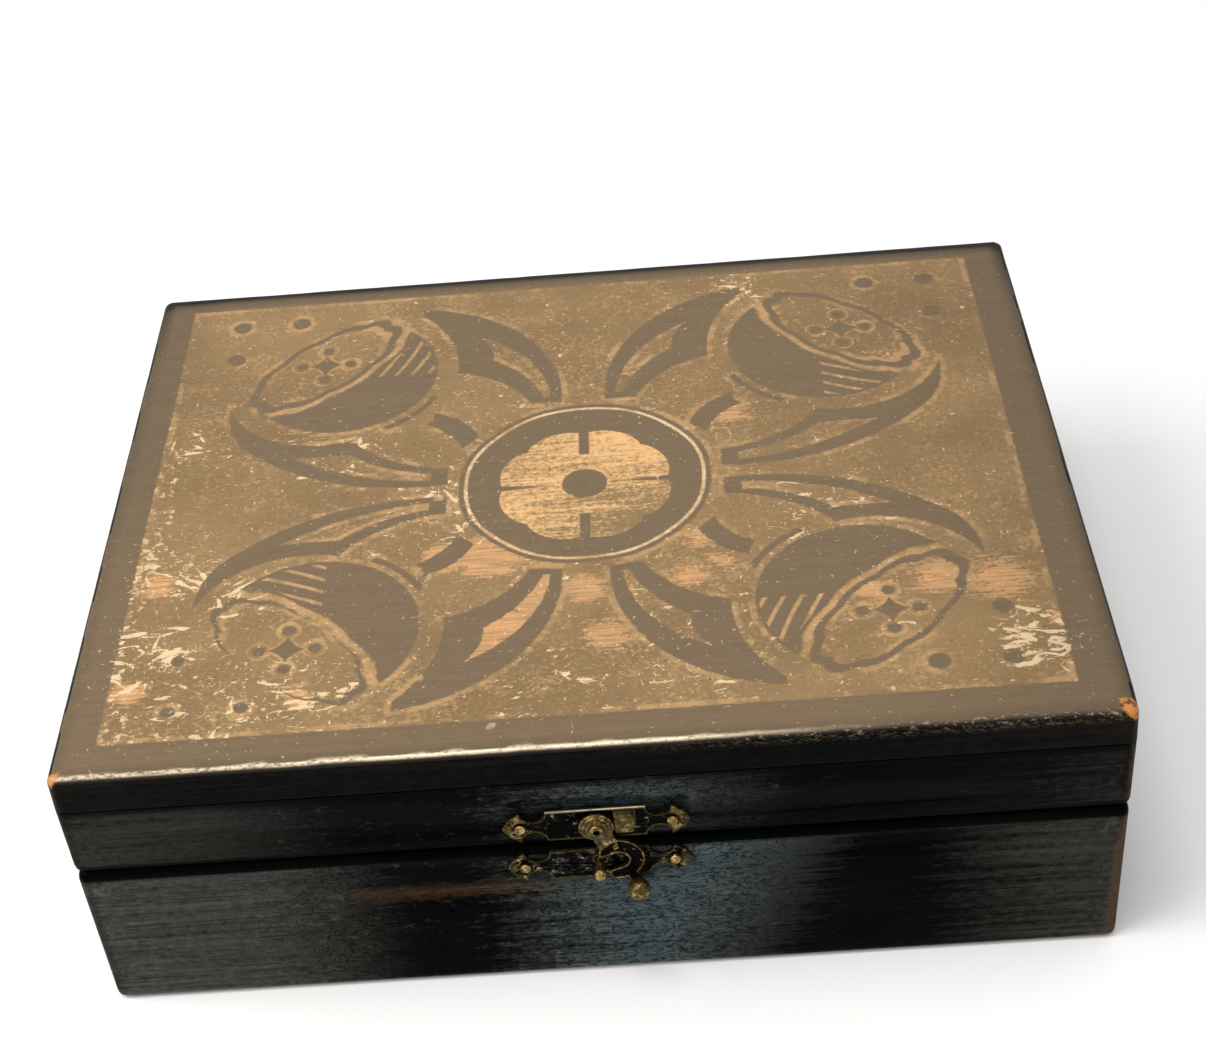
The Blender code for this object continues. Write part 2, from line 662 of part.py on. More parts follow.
def make_hinges(base, lid, parts, cutters):
    """Two butt hinges let into the rims at the back, with their pins and nails."""
    half = LEAF_LENGTH / 2
    middle = LEAF_LENGTH * KNUCKLE_SHARE / 2
    outer_spans = [(-half, -middle - FIT), (middle + FIT, half)]
    outer_clearings = [(-half - OVERRUN, -middle), (middle, half + OVERRUN)]
    leaves = {
        "base": leaf_mesh("base_leaf_form", outer_spans, [(-middle - FIT, middle + FIT)], cutters),
        "lid": leaf_mesh("lid_leaf_form", [(-middle, middle)], outer_clearings, cutters),
    }
    bodies = (("base", base["back"], BASE_TOP, -1, 0), ("lid", lid["back"], LID_BOTTOM, 1, pi))
    moving = []
    for side, label in ((-1, "left"), (1, "right")):
        place = (side * HINGE_PLACE, HINGE_AXIS_Y, SEAM_HEIGHT)
        ends = ((-half, 0, 0), (half, 0, 0))
        pin = rod_object(f"hinge_pin_{label}", *ends, HINGE_PIN_RADIUS, PIN_SIDES, parts)
        pin.location = place
        finish(pin, BRASS)
        for body, board, level, into, turn in bodies:
            leaf = add_object(f"hinge_{body}_leaf_{label}", leaves[body].copy(), parts)
            leaf.location = place
            leaf.rotation_euler = (0, turn, 0)
            pieces = [finish(leaf, DARK_BRASS)]
            let_in_leaf(board, label, place[0], level, into, cutters)
            for spot, where in ((side, "outer"), (-side, "inner")):
                name = f"hinge_{body}_nail_{label}_{where}"
                nail = turned(name, hinge_nail_profile(0, 0), PIN_SIDES, parts)
                nail.location = (place[0] + spot * HINGE_NAIL_PLACE, BACK - HINGE_NAIL_INSET, level)
                nail.rotation_euler = (0, turn, 0)
                pieces.append(finish(nail, BRASS))
            if body == "lid":
                moving += pieces
    return moving


def joint_empty(name, place, collection):
    """An empty on a joint's axis, which carries what moves about it."""
    empty = add_object(name, None, collection)
    empty.location = place
    return empty


def carry(item, empty):
    """Hang a piece on a joint's empty without moving it."""
    item.parent = empty
    item.location -= empty.location


def main():
    clear_scene()
    parts = make_collection("Cigar box")
    cutters = make_collection("Cutters")
    base = make_base(parts, cutters)
    lid = make_lid(parts, cutters)
    latch_pieces, hook = make_latch(base, lid, parts, cutters)
    hinge_pieces = make_hinges(base, lid, parts, cutters)
    hinge_axis = joint_empty("lid_hinge_axis", (0, HINGE_AXIS_Y, SEAM_HEIGHT), parts)
    for item in [*lid.values(), *latch_pieces, *hinge_pieces, hook]:
        carry(item, hinge_axis)


main()
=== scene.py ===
"""Looks for the cigar box: finishes, worn brass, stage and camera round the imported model."""

import json
import math
from types import SimpleNamespace

import bmesh
import bpy
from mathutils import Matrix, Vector, noise


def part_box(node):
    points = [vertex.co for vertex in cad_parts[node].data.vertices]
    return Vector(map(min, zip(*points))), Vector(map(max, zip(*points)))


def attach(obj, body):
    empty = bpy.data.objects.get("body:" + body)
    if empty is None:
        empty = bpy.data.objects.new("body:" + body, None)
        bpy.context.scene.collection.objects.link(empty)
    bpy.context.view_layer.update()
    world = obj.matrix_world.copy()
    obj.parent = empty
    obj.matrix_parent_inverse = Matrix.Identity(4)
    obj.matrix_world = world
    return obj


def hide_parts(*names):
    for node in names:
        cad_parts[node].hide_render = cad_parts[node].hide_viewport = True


bl_info = {
    "name": "Cigar box finishes",
    "version": (1, 0, 0),
    "blender": (4, 5, 0),
    "location": "3D View > Sidebar > Cigar box",
    "description": "Stained and stencilled lid, glossy black boards, worn brass latch and a plain studio",
    "category": "Material",
}

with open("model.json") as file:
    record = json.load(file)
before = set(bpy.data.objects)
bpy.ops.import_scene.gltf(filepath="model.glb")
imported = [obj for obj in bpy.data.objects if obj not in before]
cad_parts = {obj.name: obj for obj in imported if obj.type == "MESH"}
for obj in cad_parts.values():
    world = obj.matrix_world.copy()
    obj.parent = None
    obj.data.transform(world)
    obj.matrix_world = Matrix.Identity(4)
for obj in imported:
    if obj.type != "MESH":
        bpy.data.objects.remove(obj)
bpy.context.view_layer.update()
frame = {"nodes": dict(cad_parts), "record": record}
NODES = frame["nodes"]
BEHAVIOUR = frame["record"]["behaviour"]
BODY_OF = {node: body for body, nodes in BEHAVIOUR["bodies"].items() for node in nodes}
SWING = next(joint for joint in BEHAVIOUR["joints"] if joint["name"] == "hook_swing")

MM = 0.001
PER_M = 1000
# The closed box without its latch and hinges, in metres, and its half width, half depth and height in mm
LOW, HIGH = Vector((-0.115, -0.0915, 0)), Vector((0.115, 0.0915, 0.0725))
HALF_WIDTH, HALF_DEPTH, HEIGHT = HIGH * PER_M
# Joints between the pieces
GAP = 0.3 * MM
HAIRLINE = 0.02 * MM
TOP_LOW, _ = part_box("lid_top")
_, BASE_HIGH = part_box("base_front")
SEAM = BASE_HIGH.z + GAP / 2
LID_LOW, LID_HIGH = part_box("lid_left")
# Where the fingers of each part start and end in height, and how many there are
FINGERS = {"base": (0, BASE_HIGH.z, 6), "lid": (LID_LOW.z, LID_HIGH.z, 3)}
WALL = 7 * MM
# The top board's round edge, the spacing of its cuts across X and Y, and how deep its stain reaches
EDGE_ROUND = 2.1 * MM
EDGE_STEPS = 7
EDGE_CUTS = (3.5 * MM, 6 * MM)
CUTS_INSET = 3 * MM
STAIN_FRONT, STAIN_SIDES = 1.2 * MM, 0.35 * MM
# The latch: its pivot, and how far the faces of the plates, the lug and the ring stand out from the box
PIVOT = Vector(SWING["pos_m"])
BUTTON = (PIVOT.x * PER_M, PIVOT.z * PER_M)
PLATE_FACE = LOW.y - 1.2 * MM
LUG_FRONT = LOW.y - 1.4 * MM
RING_FACE = LOW.y - 2.4 * MM
SUNK_PLATE, SUNK_RING = 0.14 * MM, 0.1 * MM
RING_RIM = 0.4 * MM
LUG_EASE = 0.3 * MM
# Where the hook's neck turns from brass to black: a place from the pivot, and the way to the brass
NECK_PLACE, NECK_WAY = Vector((0.8 * MM, 0, -6.6 * MM)), Vector((-2.8, 0, 3)).normalized()
# The stage: the floor's half width, each lamp's place and size, the lamps' aim, and the camera
FLOOR_REACH = 6
LAMPS = {"key": ((-0.9, -0.25, 0.95), (0.9, 0.9)), "top": ((-0.08, -0.18, 0.97), (0.36, 0.14))}
LAMPS_AIM = Vector((0, -0.05, 0.03))
CAMERA_PLACE, CAMERA_TURNS, CAMERA_LENS = (0.02197, -0.40568, 0.39086), (50.309, 4.358, -1.0), 63.84


class Flow:
    """A value, vector or colour on its way through a finish. Operators on values add Math nodes."""

    def __init__(self, finish, socket):
        self.finish, self.socket = finish, socket

    def _maths(self, operation, *values, clamp=False):
        return self.finish.node("ShaderNodeMath", {"operation": operation, "use_clamp": clamp}, values)

    def __add__(self, other):
        return self._maths("ADD", self, other)

    __radd__ = __add__

    def __sub__(self, other):
        return self._maths("SUBTRACT", self, other)

    def __rsub__(self, other):
        return self._maths("SUBTRACT", other, self)

    def __mul__(self, other):
        return self._maths("MULTIPLY", self, other)

    __rmul__ = __mul__

    def __truediv__(self, other):
        return self._maths("DIVIDE", self, other)

    def __rtruediv__(self, other):
        return self._maths("DIVIDE", other, self)

    def __pow__(self, other):
        return self._maths("POWER", self, other)

    def __rpow__(self, other):
        return self._maths("POWER", other, self)

    def __mod__(self, other):
        return self._maths("FLOORED_MODULO", self, other)

    def __rmod__(self, other):
        return self._maths("FLOORED_MODULO", other, self)

    def __neg__(self):
        return self._maths("MULTIPLY", self, -1)

    def __abs__(self):
        return self._maths("ABSOLUTE", self)

    def __gt__(self, other):
        return self._maths("GREATER_THAN", self, other)

    def most(self, *others):
        """The greatest of several values: on distances, where all the shapes overlap."""
        flow = self
        for other in others:
            flow = self._maths("MAXIMUM", flow, other)
        return flow

    def least(self, *others):
        """The least of several values: on distances, the shapes joined."""
        flow = self
        for other in others:
            flow = self._maths("MINIMUM", flow, other)
        return flow

    def sine(self):
        return self._maths("SINE", self)

    def cosine(self):
        return self._maths("COSINE", self)

    def clamped(self):
        return self._maths("ADD", self, 0, clamp=True)

    def also(self, output):
        """Another output of the same node."""
        return Flow(self.finish, self.socket.node.outputs[output])

    def turn_from(self, across):
        """The angle whose tangent is self over across."""
        return self._maths("ARCTAN2", self, across)

    def rise(self, start, end):
        """0 at start and 1 at end, held level outside them. Start may be above end."""
        return ((self - start) * (1 / (end - start))).clamped()


class Finish:
    """A material built round one Principled shader."""

    def __init__(self, name, **fixed):
        self.material = bpy.data.materials.new(name)
        self.material.use_nodes = True
        self.tree = self.material.node_tree
        self.shader = self.tree.nodes["Principled BSDF"]
        for words, value in fixed.items():
            self.shader.inputs[words.replace("_", " ")].default_value = value
        place = self.node("ShaderNodeTexCoord", {}, {}, "Object")
        self.place = self.vectors("SCALE", {0: place, "Scale": PER_M})
        self.x = self.node("ShaderNodeSeparateXYZ", {}, [self.place])
        self.y, self.z = self.x.also(1), self.x.also(2)

    def node(self, kind, settings, values, output=0):
        """Adds a node: its settings first, then values or links for its inputs, by place or by name."""
        made = self.tree.nodes.new(kind)
        for key, value in settings.items():
            setattr(made, key, value)
        for key, value in values.items() if isinstance(values, dict) else enumerate(values):
            if isinstance(value, Flow):
                self.tree.links.new(value.socket, made.inputs[key])
            else:
                made.inputs[key].default_value = value
        return Flow(self, made.outputs[output])

    def vectors(self, operation, values, output=0):
        """Vector maths."""
        return self.node("ShaderNodeVectorMath", {"operation": operation}, values, output)

    def stretched(self, *scale):
        """The piece's own coordinates in millimetres, scaled apart on X, Y and Z."""
        return self.vectors("MULTIPLY", [self.place, scale])

    def point(self, across, up):
        """A place on a flat drawing."""
        return self.node("ShaderNodeCombineXYZ", {}, [across, up])

    def disc(self, point, across, up, radius=0):
        """Distance outside a circle, negative inside it."""
        return self.vectors("DISTANCE", [point, (across, up, 0)], "Value") - radius

    def crescent(self, point, whole, *cuts):
        """Distance to one circle with others cut out of it, each given as its place and radius."""
        return self.disc(point, *whole).most(*(-self.disc(point, *cut) for cut in cuts))

    def patches(self, places, core):
        """The strongest of several soft round patches, full within core times each one's reach."""
        point = self.point(self.x, self.y)
        first, *others = (
            self.disc(point, across, up).rise(reach, reach * core) * much
            for across, up, reach, much in places
        )
        return first.most(*others)

    def noise_at(self, place, scale=1, detail=2, roughness=0.5, warp=0, output=0):
        """Noise from 0 to 1 at a place; output 1 is its colour."""
        values = {"Vector": place, "Scale": scale, "Detail": detail, "Roughness": roughness}
        return self.node("ShaderNodeTexNoise", {}, {**values, "Distortion": warp}, output)

    def noise(self, scale, detail=2, roughness=0.5, warp=0):
        """Noise from 0 to 1 with scale repeats to the millimetre on each axis."""
        return self.noise_at(self.stretched(*scale), 1, detail, roughness, warp)

    def mix(self, share, first, second):
        """A colour between two others."""
        values = {0: share, 6: self._four(first), 7: self._four(second)}
        return self.node("ShaderNodeMix", {"data_type": "RGBA"}, values, 2)

    @staticmethod
    def _four(colour):
        return colour if isinstance(colour, Flow) else (*colour, 1)

    def blend(self, share, first, second):
        """A value between two others."""
        return first + (second - first) * share

    def shade(self, socket, flow):
        """Links a flow to one of the shader's sockets."""
        self.tree.links.new(flow.socket, self.shader.inputs[socket])

    def bump(self, height, strength=1):
        """Relief whose height is in millimetres."""
        made = self.node("ShaderNodeBump", {}, {"Strength": strength, "Distance": MM, "Height": height})
        self.shade("Normal", made)


# Straight scratches on the top: direction in radians, spacing along and across in mm, seed, greatest size
SCRATCHES = (
    (0.1, 13, 2.4, 3.1, 0.32),
    (0.6, 12, 2.4, 7.7, 0.32),
    (-0.4, 13, 2.6, 12.3, 0.30),
    (1.45, 15, 2.3, 19.9, 0.22),
    (-1.0, 12, 2.3, 27.1, 0.26),
)
# Curling hairlines on the top: repeats to the mm and seed
HAIRLINES = ((0.06, 4.2), (0.1, 17.5), (0.17, 31.0), (0.3, 58.0))
# Where the top is scratched most: place, reach in mm and how much
SCRATCHED = (
    (-102, -26, 28, 0.7),
    (-100, -56, 28, 0.74),
    (-84, -70, 34, 0.68),
    (-98, 22, 18, 0.64),
    (-60, -70, 24, 0.62),
    (-80, -36, 16, 0.7),
    (-36, -8, 30, 0.6),
    (-10, -76, 32, 0.6),
    (98, -68, 18, 0.95),
    (24, -62, 34, 0.6),
    (62, -25, 40, 0.55),
    (-62, 18, 32, 0.58),
    (42, 78, 16, 0.7),
    (0, -10, 170, 0.34),
)
# Where the stain is rubbed to warm wood: place, reach in mm and how much
RUBBED = (
    (-22, -28, 12, 1.4),
    (-32, -27, 9, 1.3),
    (-10, -39, 6, 1.3),
    (-13, -45, 6, 1.4),
    (-18, -51, 8, 1.4),
    (-23, -56, 8, 1.4),
    (-27, -60, 6, 1.2),
    (31, -34, 9, 0.7),
    (24, -39, 10, 0.85),
    (0, -41, 8, 1.1),
    (5, -57, 11, 0.9),
    (93, -47, 15, 0.85),
    (79, -46, 12, 0.85),
    (36, 22, 11, 0.85),
    (64, -48, 9, 0.9),
    (27, -26, 8, 0.8),
    (14, 3, 8, 0.5),
    (-63, -70, 8, 0.8),
    (-101, -66, 7, 1.1),
    (-99, -30, 8, 1.0),
    (104, -62, 6, 0.9),
)
# The ornament, in mm from the rosette's middle. Circles of the leaves and of their slits: place and radius
UPRIGHT_LEAF = (49.5, 36.5, 44), (68, 52, 35.8), (39, 21.5, 28.7)
UPRIGHT_SLIT = (44, 33.5, 35.9), (42, 26, 33.6), (38, 55, 14.8)
LEVEL_LEAF = (39.6, 64.5, 61.5), (65.5, 49, 26.5), (30, 44.5, 35)
LEVEL_SLIT = (33.5, 70, 65), (33, 45, 37)
LEVEL_TIP = (66, 38, 24.3)
# Where the leaves and slits start by the rosette, and how far out they reach
UPRIGHT_START, UPRIGHT_REACH, UPRIGHT_SLIT_START, UPRIGHT_SLIT_REACH = 33.8, 42.5, 36.2, 29
LEVEL_START, LEVEL_REACH, LEVEL_SLIT_START, LEVEL_SLIT_REACH = 33.3, 41, 37.4, 17.8
LEVEL_TIP_START = 79
# Seed pods: how far across, back and forward they are, the bowl's radius, and the cap's place and half sizes
POD_ACROSS, POD_BACK, POD_FRONT, POD_BOWL = 62, 52, 47, 24.3
CAP_PLACE, CAP_LONG, CAP_SHORT, CAP_SCALLOP = 7.3, 20.8, 9.3, 0.9
CAP_LINE, CAP_CLEAR, STRIPE_PITCH, STRIPE_WIDTH = 1.8, 4.2, 4.2, 1.2
SEED_PLACE, SEED_APART, SEED_RADIUS, STAR_REACH = 5.16, 6.3, 1.5, 4.2
# Wing bars: how far from the pod's middle, half width and half length, and the bite out of the inner end
WING_PLACE, WING_HALF_WIDTH, WING_HALF_LENGTH, WING_BITE = 38.5, 2.8, 8.5, (-29, 0, 4)
# Round spots: radius, places across, and places back and forward
SPOT_RADIUS, SPOT_OUTER, SPOT_INNER = 2.4, 91.5, 75.5
SPOT_OUTER_ROWS, SPOT_INNER_ROWS = (77.5, 69.7), (62.5, 53.5)
# Rosette: radii of the petals, eye, light line, ring and the clear band round it, and the petals' slots
PETAL_RADIUS, PETAL_BULGE, EYE, LINE_RADIUS, RING, CLEAR = 19.4, 1.9, 5.4, 28.9, 30.6, 33
SLOT_HALF_WIDTH, SLOT_START, TAPER_START = 1.2, 11.5, 9
# The plain border's inner edges: middle and half size, across and up
BORDER_ACROSS, BORDER_UP = (-0.85, 104.55), (1.1, 82.6)
DIAGONAL = math.sqrt(0.5)


def leaves_of(finish, au, av):
    """Distance to the eight sickle leaves, from coordinates folded into one quarter."""
    spot = finish.point(au, av)
    upright = finish.crescent(spot, *UPRIGHT_LEAF).most(UPRIGHT_START - av, au - UPRIGHT_REACH)
    slit = finish.crescent(spot, *UPRIGHT_SLIT).most(UPRIGHT_SLIT_START - av, au - UPRIGHT_SLIT_REACH)
    upright = upright.most(-slit)
    tip = finish.disc(spot, *LEVEL_TIP).least(au - LEVEL_TIP_START)
    level = finish.crescent(spot, *LEVEL_LEAF).most(LEVEL_START - au, av - LEVEL_REACH, tip)
    slit = finish.crescent(spot, *LEVEL_SLIT).most(LEVEL_SLIT_START - au, av - LEVEL_SLIT_REACH)
    return upright.least(level.most(-slit))


def worn_quarter(u, v):
    """1 in the quarter at the front left, where the stencil is most worn."""
    return (-u - v).rise(40, 60)


def pods_of(finish, u, v, au):
    """Distance to the four seed pods and the small marks beside them, and to the light lines on them."""
    a, b = au - POD_ACROSS, (v - POD_BACK).most(-v - POD_FRONT)
    # Out from the rosette, and across that way
    p, q = (a + b) * DIAGONAL, (b - a) * DIAGONAL
    even = (u * v) > 0
    along, aside = b + (a - b) * even, a + (b - a) * even
    cap_p = p - CAP_PLACE
    swirl = (cap_p / CAP_SHORT).turn_from(q / CAP_LONG)
    oval = ((q / CAP_LONG) ** 2 + (cap_p / CAP_SHORT) ** 2) ** 0.5
    cap = (oval - 1) * 12 - abs((swirl * 5).sine()) * CAP_SCALLOP + 0.4
    bowl = (p * p + q * q) ** 0.5 - POD_BOWL
    body = bowl.most(CAP_CLEAR - cap, cap_p)
    slope = aside + along * 0.42 - (along - 6) * (along - 6) * 0.008
    stripe = abs(slope % STRIPE_PITCH - STRIPE_PITCH / 2) - STRIPE_WIDTH / 2
    stripe = stripe.most(-1.6 - along, bowl + 0.8, aside + 8, 5 - cap)
    outline = (cap - CAP_LINE).most(-cap) + worn_quarter(u, v) * (abs(q).rise(22, 0) * 0.8 + 0.3)
    star_a, star_b = abs(a - SEED_PLACE), abs(b - SEED_PLACE)
    star = (star_a**0.7 + star_b**0.7) ** (1 / 0.7) - STAR_REACH
    far, near = star_a.most(star_b), star_a.least(star_b)
    seeds = finish.disc(finish.point(far, near), SEED_APART, 0, SEED_RADIUS)
    echo = (abs(bowl - 2.7) - 0.8).most(p, abs(q) - 8.5)
    dark = body.most(-stripe).least(outline, star, seeds, echo)
    marks = (abs(star.least(seeds) - 1.1) - 0.25).most(cap + 2.4)
    lines = stripe.least((abs(cap - 2.8) - 0.8).most(cap_p, bowl), marks)
    return dark, lines


def wings_of(finish, au, v):
    """Distance to the four short bars between the rosette and the pods."""
    a, b = au - POD_ACROSS, v.most(v * -1.08) - POD_BACK
    p, q = (a + b) * DIAGONAL, (b - a) * DIAGONAL
    bar = abs(q - 2.7 + (p + 39) * (p + 39) * 0.03) - WING_HALF_WIDTH
    bar = bar.most(abs(p + WING_PLACE) - WING_HALF_LENGTH)
    return bar.most(-finish.disc(finish.point(p, q), *WING_BITE))


def spots_of(finish, u, v, au):
    """Distance to the three round spots in each corner, smallest where the stencil is most worn."""
    inner, outer = ((v - back).most(-v - front) for back, front in (SPOT_INNER_ROWS, SPOT_OUTER_ROWS))
    places = (outer, SPOT_OUTER), (outer, SPOT_INNER), (inner, SPOT_OUTER)
    first, *others = (finish.disc(finish.point(au, row), across, 0, SPOT_RADIUS) for row, across in places)
    return first.least(*others) + worn_quarter(u, v) * 0.8


def rosette_of(finish, u, v, au):
    """Distances to the rosette's dark ring, to its light petals and to the light line round it."""
    turn = v.turn_from(u)
    r = (u * u + v * v) ** 0.5
    petal = r - PETAL_RADIUS - abs((turn * 4).sine()) ** 0.6 * PETAL_BULGE
    slot = (au - SLOT_HALF_WIDTH).most(SLOT_START - r).least(abs(v) - (r - TAPER_START) * 0.08)
    petal = petal.most(-slot, EYE - r)
    rim_v = v - 1.3
    rim = (u * u + rim_v * rim_v) ** 0.5 + (turn * 8).cosine() * 0.15
    line = abs(rim - LINE_RADIUS) - 0.5
    ring = (rim - RING).most(-petal, -line)
    clear = (rim - CLEAR).most(RING - rim)
    return ring, petal, line, clear


def stencil(finish):
    """Distances in millimetres to the ornament's dark parts, petals, ring line and lines on the pods."""
    u, v = finish.x - 0.3, finish.y + 2.9
    # Folded into one quarter; the front half is drawn a little smaller
    au, av = abs(u), v.most(1.6 - v * 1.06)
    ring, petal, ring_line, clear = rosette_of(finish, u, v, au)
    pods, pod_lines = pods_of(finish, u, v, au)
    figures = leaves_of(finish, au, av).least(pods, wings_of(finish, au, v), spots_of(finish, u, v, au))
    across, up = abs(finish.x - BORDER_ACROSS[0]), abs(finish.y - BORDER_UP[0])
    border = -(across - BORDER_ACROSS[1]).most(up - BORDER_UP[1])
    dark = figures.least(ring).most(-clear).least(border)
    return dark, petal, ring_line, pod_lines


def edge_distance(finish):
    """Millimetres from the box's nearest outer edge, for a point on its surface."""
    side, front = HALF_WIDTH - abs(finish.x), HALF_DEPTH - abs(finish.y)
    ends = finish.z.least(HEIGHT - finish.z)
    return side.least(front).most(side.most(front).least(ends))


def grain_of(finish, along_x=True, pitch=2.6):
    """Straight wood grain from 0 to 1, drawn out along X or Y, with pitch lines to the millimetre."""
    fine = (0.03, pitch, pitch) if along_x else (pitch, 0.03, pitch)
    coarse = (0.012, 0.5, 0.5) if along_x else (0.5, 0.012, 0.5)
    return finish.noise(fine, 3, 0.6) * 0.65 + finish.noise(coarse, 2) * 0.35


def scratches_of(finish, density, ragged):
    """Cream scratches, curling hairlines, chips and specks on the top, many where density is high."""
    bend = finish.noise_at(finish.stretched(0.1, 0.1, 0.1), output=1)
    bent = finish.vectors("ADD", [finish.place, finish.vectors("SCALE", {0: bend, "Scale": 4})])
    coarse = finish.noise((0.17, 0.32, 0.32), 5, 0.68, 1.2)
    chips = (coarse + density * 0.23).rise(0.75, 0.765)
    marks = (ragged + density * 0.16).rise(0.775, 0.795).most(chips)
    # Each scratch is a cell of drawn-out Voronoi, kept by lot, with a ragged outline
    for turn, long, wide, seed, reach in SCRATCHES:
        c, s = math.cos(turn), math.sin(turn)
        along = finish.vectors("DOT_PRODUCT", [bent, (c, s, 0)], "Value")
        aside = finish.vectors("DOT_PRODUCT", [bent, (-s, c, 0)], "Value")
        drawn = finish.point(along * (1 / long) + seed, aside * (1 / wide) + seed)
        cell = finish.node("ShaderNodeTexVoronoi", {}, {"Vector": drawn, "Scale": 1, "Randomness": 1})
        lot = finish.node("ShaderNodeSeparateColor", {}, [cell.also(1)])
        size = (lot + density - 1.48).least(0.13) * (reach / 0.13)
        scratch = (size * (0.1 + ragged * 1.8) - cell).rise(0, 0.06)
        marks = marks.most(scratch * (0.5 + ragged * 0.8))
    # Each hairline follows the middle level of a noise, and comes and goes along it
    for scale, seed in HAIRLINES:
        drawn = finish.vectors("ADD", [finish.stretched(scale, scale, 0), (seed, 0, 0)])
        path, part = finish.noise_at(drawn, 1, 1), finish.noise_at(drawn, 3.1, 1)
        wide = (part + density * 0.12 - 0.67).least(0.06) * (scale * 1.3)
        hair = (wide * (0.3 + ragged * 1.4) - abs(path - 0.5)).rise(0, 0.006)
        marks = marks.most(hair * (0.3 + ragged * 0.7))
    specks = (finish.noise((0.8, 1.2, 1.2), 2, 0.6) + density * 0.08).rise(0.82, 0.85)
    return marks.most(specks).clamped()


def top_noises(finish):
    """The noises that the looks of the top share."""
    return SimpleNamespace(
        grain=grain_of(finish),
        weave=finish.noise((0.2, 1.5, 1.5), 5, 0.75),
        cloud=finish.noise((0.02, 0.03, 0.03), 3),
        ragged=finish.noise((0.5, 0.5, 0.5), 4, 0.7),
        grit=finish.noise((0.9, 1.1, 1.1), 4, 0.75),
        patchy=finish.noise((0.09, 0.09, 0.09), 3, 0.6),
        streaky=finish.noise((0.07, 0.5, 0.5), 4, 0.75),
        lines=finish.noise((0.06, 1.7, 1.7), 3, 0.65),
    )


def stained_field(finish, settings, by):
    """Khaki stain round the ornament, rubbed to warm wood in places."""
    tone = by.weave * 0.5 + by.grit * 0.75 + (by.cloud - 0.5) * 1.3 + (by.patchy - 0.5) * 0.6
    field = finish.mix(tone.rise(0.42, 0.82), settings.field_dark, settings.field_light)
    pores = (by.grit * 0.7 + by.weave * 0.4 + by.cloud * 0.2).rise(0.6, 0.5)
    field = finish.mix(pores * 0.75, field, settings.field_pore)
    pale = (by.grit + by.ragged * 0.5 + by.patchy * 0.5).rise(1.06, 1.22)
    field = finish.mix(pale * 0.7, field, settings.tan)

    warm = finish.patches(RUBBED, 0.2)
    warm = (warm * 0.45 + by.streaky * 0.7 + by.weave * 0.6 + by.grit * 0.5 - 1.13).rise(0, 0.12)
    bared = finish.mix((by.streaky + by.grit * 0.5).rise(0.6, 0.9), settings.rubbed, settings.tan)
    return finish.mix(warm * (0.3 + by.lines.rise(0.38, 0.52) * 0.6), field, bared)


def light_parts(finish, settings, by, field, dark, petal, ring_line, pod_lines):
    """Adds the tan fringe of the dark parts, chips by the left border, the petals and the light lines."""
    x, y = finish.x, finish.y
    fringe = (abs(dark - 0.9) - 0.6).rise(0.3, -0.1)
    fringe = fringe * (by.patchy * 1.2 + by.ragged * 0.7 - 0.9).rise(0, 0.2) * 0.7
    verge = x.rise(-96, -101) * y.rise(38, 18) * (by.patchy - 0.2)
    chipped = (by.ragged + verge * 0.5).rise(0.72, 0.76)
    chip = finish.mix(chipped * by.grit, settings.tan, settings.scuff)
    field = finish.mix(fringe.most(chipped), field, chip)

    kept = by.lines * 0.45 + by.grit * 0.7 + by.ragged * 0.4 + by.streaky * 0.3 + y * 0.0035 + x * y * 0.0004
    gold = finish.mix(kept.rise(0.8, 1.03), settings.petal_grain, settings.petal)
    field = finish.mix(petal.rise(0.18, -0.18), field, gold)

    pale = finish.mix((by.grit + by.patchy).rise(0.85, 1.15), settings.tan, settings.scuff)
    field = finish.mix(ring_line.rise(0.15, -0.15) * (0.5 + by.ragged * 0.5), field, pale)
    broken = (by.ragged * 1.8 + by.patchy * 0.9 - 0.75).clamped()
    return finish.mix(pod_lines.rise(0.15, -0.15) * broken, field, settings.tan)


def darker_edges_with_shade(finish, settings, colour):
    """Darkens the stain towards the edges, most at the back, where the strong darkening on the round back
    edge is painted shade.
    """
    x, y = finish.x, finish.y
    inset = (HALF_WIDTH - abs(x)).least(HALF_DEPTH - abs(y))
    edge_darkening = inset.rise(4.5, 0.5) * (0.3 + y.rise(60, 88) * 0.6) + x.rise(60, 115) * 0.2
    # Strong darkening along the back edge: painted shade.
    edge_darkening = edge_darkening + y.rise(HALF_DEPTH - 7, HALF_DEPTH - 1) * 0.8
    edge_darkening = (edge_darkening + x.rise(-96, -106) * y.rise(-40, 20) * 0.14).clamped()
    return finish.mix(edge_darkening, colour, settings.black_brown)


def front_wear_and_highlight(finish, drop, right):
    """Where the front edge is worn to pale wood, with a painted highlight: a bright line at the left, part
    painted highlight and part worn wood, and worn flecks at the right.
    """
    front = (-finish.y).rise(HALF_DEPTH - 2.6, HALF_DEPTH - 1.6)
    flecks = finish.noise((0.7, 1.4, 1.4), 4, 0.75, 0.3)
    # The thin bright line is painted highlight over pale worn wood.
    thin = drop.rise(0.04, 0.12) * drop.rise(0.62, 0.35) * (1 - right)
    thin = thin * (flecks + finish.x.rise(-45, -80) * -0.08).rise(0.3, 0.5)
    rough = drop.rise(0.04, 0.3) * drop.rise(1.7, 0.9) * right * flecks.rise(0.56, 0.64)
    return front * thin.most(rough)


def bare_corners(finish, settings, ragged, drop, colour):
    """Adds orange wood where the front corners of the top are knocked bare, most at the right."""
    outer = (HALF_WIDTH - abs(finish.x)).most(HALF_DEPTH + finish.y)
    corner = (outer + drop - finish.x.rise(-100, 100) * 1.1 - ragged * 3.6).rise(1.6, 0.9)
    bared = finish.mix(ragged.rise(0.5, 0.62), settings.bare_orange, settings.worn_brown)
    return finish.mix(corner, colour, bared)


